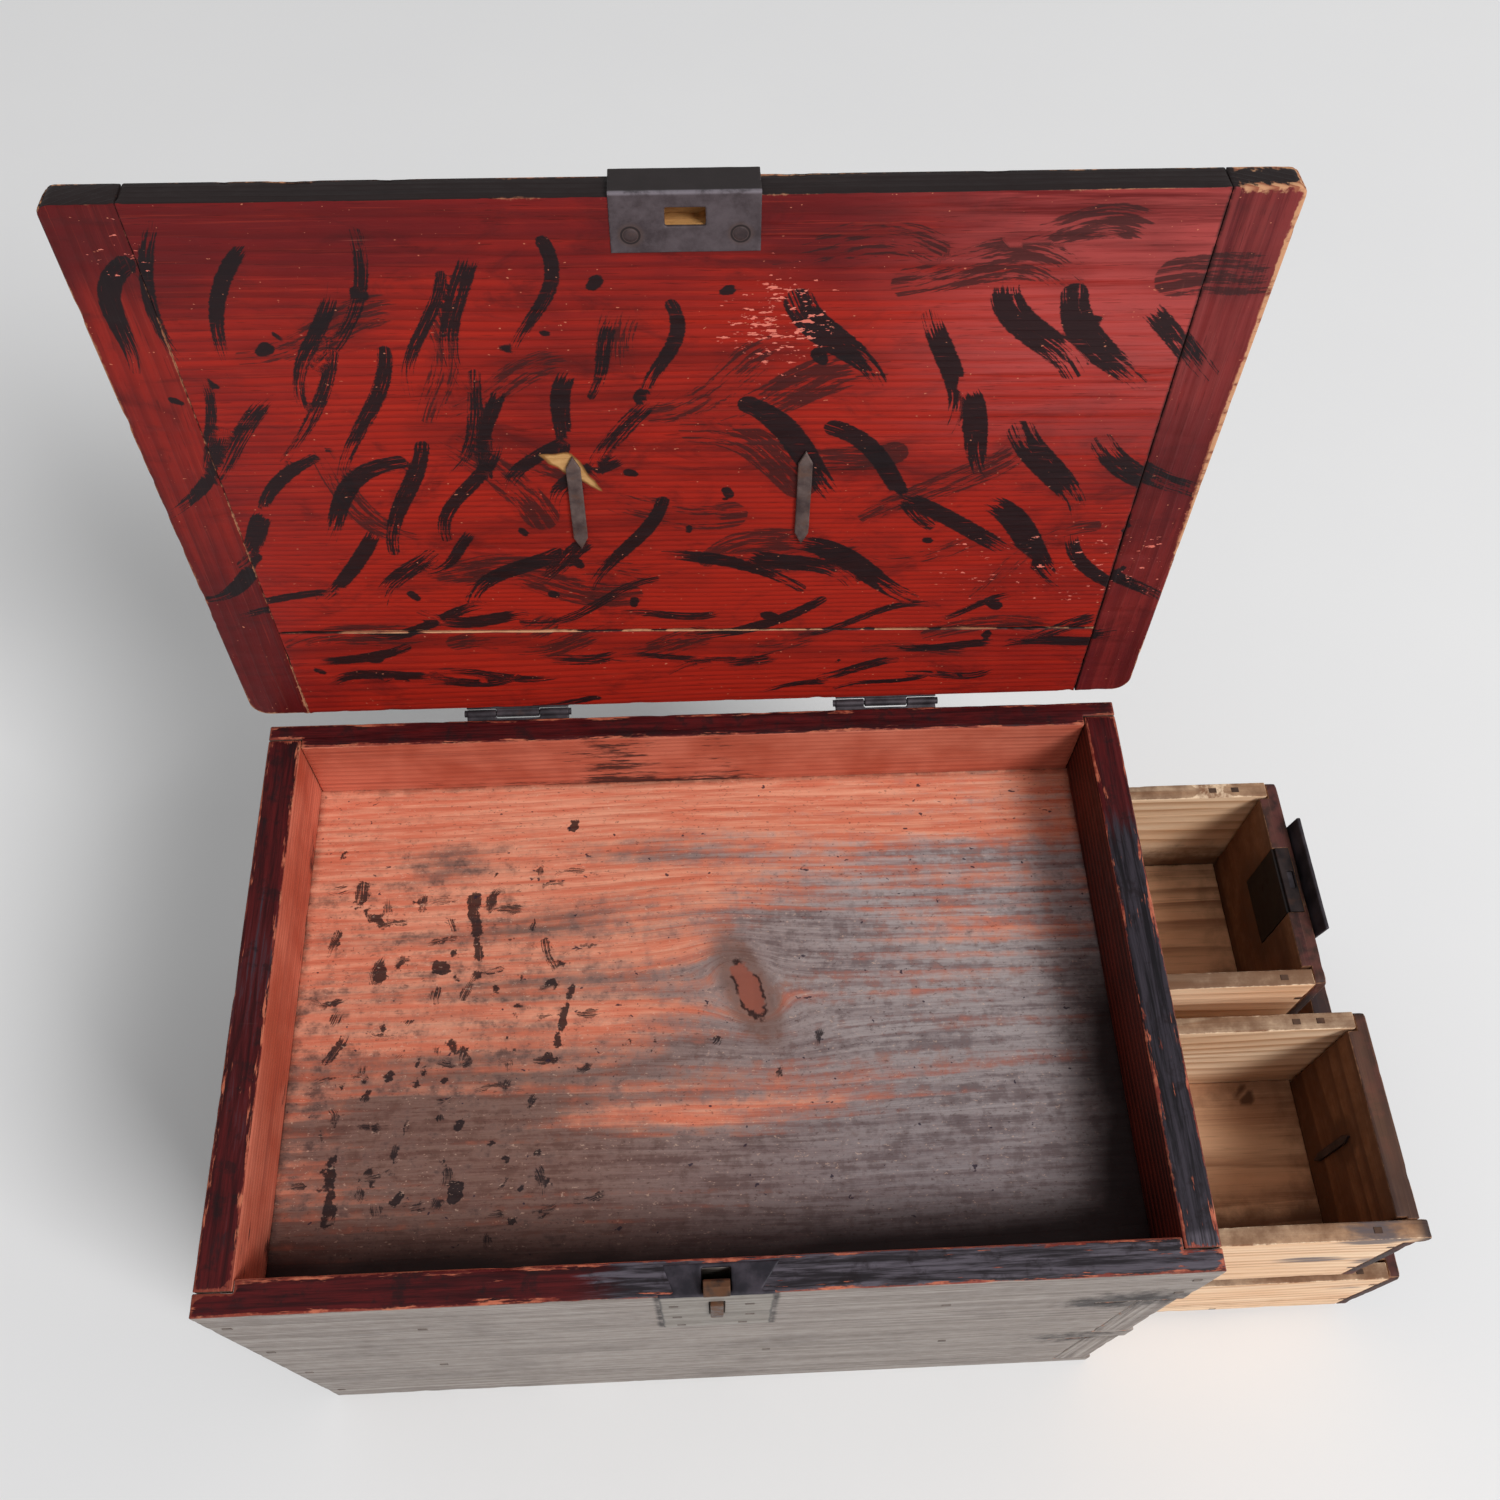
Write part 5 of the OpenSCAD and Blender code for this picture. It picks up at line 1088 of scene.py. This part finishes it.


# A drawer's board: browner top edge, darker towards the foot, ink where the ink spots say (x, z, reach along
# X and Z, amount), the lacquered tip of a side that passes through the front, and a pale place on the top
# edge
def boardZones(bounds, most, inks=(), tip=None, topStain=0.72, pale=None):
    def zones(p, arris):
        x, z = p[:, 0], p[:, 2]
        onTop = (z > bounds[1, 2] - onFace).astype(float)
        stain = np.maximum(most * ease(bounds[0, 2] + 42, bounds[0, 2] + 4, z), onTop * topStain)
        ink = 0 * x
        for inkX, inkZ, reachX, reachZ, amount in inks:
            spot = ((x - inkX) / reachX) ** 2 + ((z - inkZ) / reachZ) ** 2
            ink = np.maximum(ink, amount * np.exp(-spot))
        lacquer = 0 * x if tip is None else 0.95 * ease(tip - 9, tip - 2, x) * (z > bounds[1, 2] - 14)
        near = arris
        if pale is not None:
            around = ease(1.2, 0.6, np.abs(x - pale) / 8)
            near = near - 3.0 * onTop * around * ease(0.3, 0.5, cloud(p, 6.0, 48, 2))
        return {"zone": columns(stain, lacquer, ink), "arris": near}
    return zones


# Painted shade on a drawer's floor: darker in the corners and most at the near side, where the near side's
# shadow is painted, with knots at the given places
def floorZones(bounds, knots):
    def zones(p, arris):
        x, y = p[:, 0], p[:, 1]
        wall = np.minimum(x - bounds[0, 0], bounds[1, 0] - x)
        wall = np.minimum(wall, np.minimum(y - bounds[0, 1], bounds[1, 1] - y))
        # painted shade: darker near the walls, and the near side's painted shadow
        stain = 0.3 * ease(20, 6, wall) + 0.7 * ease(40, 12, y - bounds[0, 1])
        for knotX, knotY, r in knots:
            gap = np.hypot(x - knotX, y - knotY)
            stain = np.maximum(stain, 1.3 * ease(r + 1.5, r, gap) * ease(0.2 * r, 0.9 * r, gap))
        return {"zone": columns(stain, 0, 0)}
    return zones


# The upper corners of a front are rounded
def frontShape(bounds):
    middle, half = bounds[:, 1].mean(), (bounds[1, 1] - bounds[0, 1]) / 2
    return lambda p: roundOff(p, [1, 2], (middle, bounds[1, 2] - far), (half, far), 3.0)


# The tip of a side that passes through the front is rounded like a finger
def tipShape(end, low, high):
    return lambda p: roundOff(p, [0, 2], (end - far, (low + high) / 2), (far, (high - low) / 2), 3.6)


drawerWood = dict(radius=0.8, chip=0.7, relief=0.12, slot="bare_wood", finish=softwood)
fingerHigh = 9.0
lockBox, stripBox = boxOf("drawer_lock_case"), boxOf("drawer_lock_strip")
keyY, keyTop = lockBox[:, 1].mean(), boxOf("back_drawer_near_side")[1, 2] - 21.0
lockCuts = [cut((lockBox[0, 0] - 1, lockBox[1, 0]), lockBox[:, 1], (lockBox[0, 2], far)),
            cut(stripBox[:, 0], stripBox[:, 1], (stripBox[0, 2], far)),
            cut((-far, far), (keyY - 1.6, keyY + 1.6), (keyTop - 7, keyTop + 2))]
# dirty: how much darker a far side grows towards its foot
drawers = {
    "back_drawer": dict(seed=60, dirty=0.95, nearTop=0.95, topCoat=0.92, hollow=(24, 22), pale=250,
                        cuts=lockCuts, inks=[(262, 120, 14, 18, 0.75)]),
    "front_drawer": dict(seed=70, dirty=0.0, nearTop=0.72, topCoat=0.7, hollow=(9, 12),
                         knots=[(262, -21, 3.0)],
                         inks=[(276, 174, 22, 12, 0.85), (262, 140, 26, 12, 0.8), (288, 128, 12, 20, 0.6),
                               (240, 168, 10, 5, 0.5)]),
    "lower_drawer": dict(seed=80, dirty=0.4, nearTop=0.72, topCoat=0.92, hollow=(9, 12),
                         inks=[(308, 62, 20, 10, 0.7)])}
for key, drawer in drawers.items():
    face, near, farSide, end, bottom = (
        boxOf(key + "_" + part) for part in ("front", "near_side", "far_side", "end", "bottom"))
    sides = [near.copy(), farSide.copy()]
    sides[0][1, 0] = farSide[1, 0]
    cuts = drawer.get("cuts", []) + [side + [[-1, -1, -1], [0, 1, 1]] for side in sides]
    tipEnd, nearSide = None, dict(solids=[sides[0]])
    if near[1, 0] > face[1, 0]:       # the near side's finger passes through the front
        tipEnd, tipLow = near[1, 0], near[1, 2] - fingerHigh
        tip = cut((face[0, 0], tipEnd), near[:, 1], (tipLow, near[1, 2]))
        cuts.append(tip + [[0, -1, 0], [1, 0, 1]])
        nearSide = dict(solids=[sides[0], tip], shape=tipShape(tipEnd, tipLow, near[1, 2]))
    for n, board in enumerate((
            dict(drawerWood, part="front", slot="dark_lacquer", grain=(1, 2, 0), step=2.4, cuts=cuts,
                 finish=softwoodDark, shape=frontShape(face),
                 fields=frontZones(face, drawer["hollow"], drawer["topCoat"])),
            dict(drawerWood, part="near_side", grain=(0, 2, 1), step=2.8, **nearSide,
                 fields=boardZones(near, 0.15, drawer["inks"], tipEnd, drawer["nearTop"])),
            dict(drawerWood, part="far_side", grain=(0, 2, 1), step=2.8,
                 fields=boardZones(farSide, drawer["dirty"], pale=drawer.get("pale"))),
            dict(drawerWood, part="end", grain=(1, 2, 0), step=5.0, fields=boardZones(end, 0.6)),
            dict(drawerWood, part="bottom", grain=(0, 1, 2), step=3.0, finish=drawerFloorWood,
                 fields=floorZones(bottom, drawer.get("knots", []))))):
        node = key + "_" + board["part"]
        timber(dict(board, name=camel(node + "_wood"), nodes=[node], body=key, seed=drawer["seed"] + n))
print("drawers made")


# ironwork

def allOf(items, key, kind, wide=1):
    values = np.empty(len(items) * wide, kind)
    items.foreach_get(key, values)
    return values


# The node's solids are merged and remeshed by voxels; each point moves along its normal by the swell and by
# an uneven hammered amount
def forged(spec, seed):
    shape = bmesh.new()
    shape.from_mesh(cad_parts[spec["node"]].data)
    bmesh.ops.remove_doubles(shape, verts=shape.verts, dist=1e-6)
    mesh = bpy.data.meshes.new("solid")
    shape.to_mesh(mesh)
    shape.free()
    solid = linked("solid", mesh)
    remesh = solid.modifiers.new("even", "REMESH")
    remesh.mode = "VOXEL"
    remesh.voxel_size = spec["voxel"] * mm
    remesh.use_smooth_shade = True
    ready = solid.evaluated_get(bpy.context.evaluated_depsgraph_get()).to_mesh()
    points = allOf(ready.vertices, "co", float, 3).reshape(-1, 3) / mm
    normals = allOf(ready.vertices, "normal", float, 3).reshape(-1, 3)
    corners = allOf(ready.loops, "vertex_index", int)
    ends = np.cumsum(allOf(ready.polygons, "loop_total", int))
    faces = [part.tolist() for part in np.split(corners, ends[:-1])]
    bpy.data.objects.remove(solid)
    uneven = cloud(points, spec["hammer"], seed, 3) - 0.5
    points = points + normals * (spec["swell"] + spec["depth"] * uneven)[:, None]
    fields = spec["fields"](points) if "fields" in spec else {}
    addPiece(camel(spec["node"] + "_iron"), points, faces, spec["finish"], spec["body"], [spec["node"]],
             fields, 60)


# Distance in mm to the outline of the lock plate's face
def plateOutline(points):
    x, z = points[:, 0], points[:, 2]
    return {"outline": np.minimum(plateHalf - np.abs(x - plateMiddle), z - boxOf("lock_plate")[0, 2])}


rivet = dict(profile=[(1.1, 0.18), (1.8, 0.14), (2.3, 0.04), (2.5, -0.3)], crown=0.19, turns=32,
             x=(-16.8, 18.0), y=-116.65, z=238.2)


# The strike plate seen as on the shut lid: its band on the lid's edge, and the mm to the bend and to the
# nearest rivet
def strikeZones(points):
    x, y, z = openLid(points, 1).T
    bendY, bendZ = frontY - 1.2, lid["low"] - 0.2
    rivets = [np.hypot(x - rivetX, y - rivet["y"]) for rivetX in rivet["x"]]
    return {"band": ease(frontY - 0.9, frontY - 1.1, y), "bend": np.hypot(y - bendY, z - bendZ),
            "rivet": np.minimum(*rivets) + 9.0 * (z > lid["low"] + 1)}


plate = dict(voxel=0.42, swell=0.1, depth=0.14, hammer=6.0, finish=blackIron)
leaf = dict(plate, swell=0.02)
thin = dict(voxel=0.34, swell=0.04, depth=0.2, hammer=3.0, finish=blackIron)
loose = dict(thin, swell=0.0)
ironwork = [
    dict(plate, node="lock_plate", body="case", finish=lockPlateIron, fields=plateOutline),
    dict(plate, node="lid_catch", body="catch", finish=catchIron, swell=0.0),
    dict(plate, node="strike_plate", body="lid", finish=strikeIron, fields=strikeZones),
    dict(leaf, node="left_hinge_case_leaf", body="case"),
    dict(leaf, node="right_hinge_case_leaf", body="case"),
    dict(leaf, node="left_hinge_lid_leaf", body="lid"),
    dict(leaf, node="right_hinge_lid_leaf", body="lid"),
    dict(plate, node="drawer_pull_plate", body="back_drawer"),
    dict(plate, node="drawer_lock_strip", body="back_drawer", finish=brownedIron, swell=0.03),
    dict(thin, node="bail_split_pins", body="lid", finish=pinIron),
    dict(loose, node="bail_roses", body="lid"),
    dict(loose, node="lid_bail", body="bail", voxel=0.5),
    dict(thin, node="front_drawer_split_pin", body="front_drawer"),
    dict(loose, node="front_drawer_rose", body="front_drawer"),
    dict(loose, node="front_drawer_ring", body="front_ring"),
    dict(thin, node="lower_drawer_split_pin", body="lower_drawer"),
    dict(loose, node="lower_drawer_rose", body="lower_drawer"),
    dict(loose, node="lower_drawer_ring", body="lower_ring")]
firstSeed = 90
for n, spec in enumerate(ironwork):
    forged(spec, firstSeed + n)


# Low round heads of the strike plate's rivets: a profile turned about the rivet's axis. The heads are drawn
# with the lid shut and look down
def rivetHead(x):
    n = rivet["turns"]
    around = np.arange(n) * 2 * math.pi / n
    radius, high = np.array(rivet["profile"]).T
    rings = np.stack([x + radius[:, None] * np.cos(around), rivet["y"] + radius[:, None] * np.sin(around),
                      rivet["z"] - high[:, None] + 0 * around], axis=2).reshape(-1, 3)
    ends = [[x, rivet["y"], rivet["z"] - rivet["crown"]], [x, rivet["y"], rivet["z"] - high[-1]]]
    here = np.arange(n)
    after = (here + 1) % n
    last = (len(radius) - 1) * n
    faces = [columns(last + n, after, here), columns(last + n + 1, last + here, last + after)]
    for row in range(0, last, n):
        faces.append(columns(row + here, row + after, row + n + after))
        faces.append(columns(row + here, row + n + after, row + n + here))
    return np.concatenate([rings, ends]), np.concatenate(faces).tolist()


for side, x in zip(("Left", "Right"), rivet["x"]):
    points, faces = rivetHead(x)
    addPiece("strikeRivetHead" + side, openLid(points), faces, rivetIron, "lid", [], {}, 80)

nails = {"case_nails": nailGray, "lid_nails": nailRed, "back_drawer_nails": nailBrown,
         "front_drawer_nails": nailBrown, "lower_drawer_nails": nailBrown, "strike_rivets": rivetIron,
         "drawer_lock_case": darkIron}
for node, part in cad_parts.items():
    if node.endswith(("nails", "rivets", "hinge_pin", "lock_case", "lock_bolt")):
        part.data.materials.clear()
        part.data.materials.append(nails.get(node, blackIron))
print("ironwork made")


# stage, light and camera

ground = bpy.data.meshes.new("floor")
reach = 6.0
ground.from_pydata([(-reach, -reach, 0), (reach, -reach, 0), (reach, reach, 0), (-reach, reach, 0)], [],
                   [(0, 1, 2, 3)])
paleFloor, spot = newFinish("paleFloor")
pale = mix(noise(spot, 2.2, 5, 0.6), (232, 232, 233), (239, 239, 239))
ground.materials.append(finished(paleFloor, pale, 0.9, gloss=0.1))
linked("floor", ground)

world = bpy.data.worlds.new("softLight")
world.use_nodes = True
background = world.node_tree.nodes["Background"].inputs
background["Color"].default_value = (1.0, 1.0, 1.0, 1.0)
background["Strength"].default_value = 0.42
bpy.context.scene.world = world

lamp = dict(place=(2.92, -2.70, 4.16), aim=(0, 0, 0.2), size=2.0, power=245.0)
light = bpy.data.lights.new("key", "AREA")
light.size = lamp["size"]
light.energy = lamp["power"]
lampPiece = linked("key", light)
lampPiece.location = lamp["place"]
lampPiece.rotation_euler = (Vector(lamp["aim"]) - Vector(lamp["place"])).to_track_quat("-Z", "Y").to_euler()

shot = dict(place=(-0.0023, -0.21715, 0.7949), ahead=(0.0399, 0.5, -0.8651), right=(0.9987, -0.0465, 0.0192),
            lens=34.72)
ahead = Vector(shot["ahead"]).normalized()
right = Vector(shot["right"])
right = (right - ahead * right.dot(ahead)).normalized()
up = right.cross(ahead)
camera = bpy.data.cameras.new("camera")
camera.lens = shot["lens"]
camera.sensor_width = 36.0
camera.clip_start = 0.01
cameraPiece = linked("camera", camera)
turn = Matrix((right, up, -ahead)).transposed().to_4x4()
cameraPiece.matrix_world = Matrix.Translation(shot["place"]) @ turn
bpy.context.scene.camera = cameraPiece
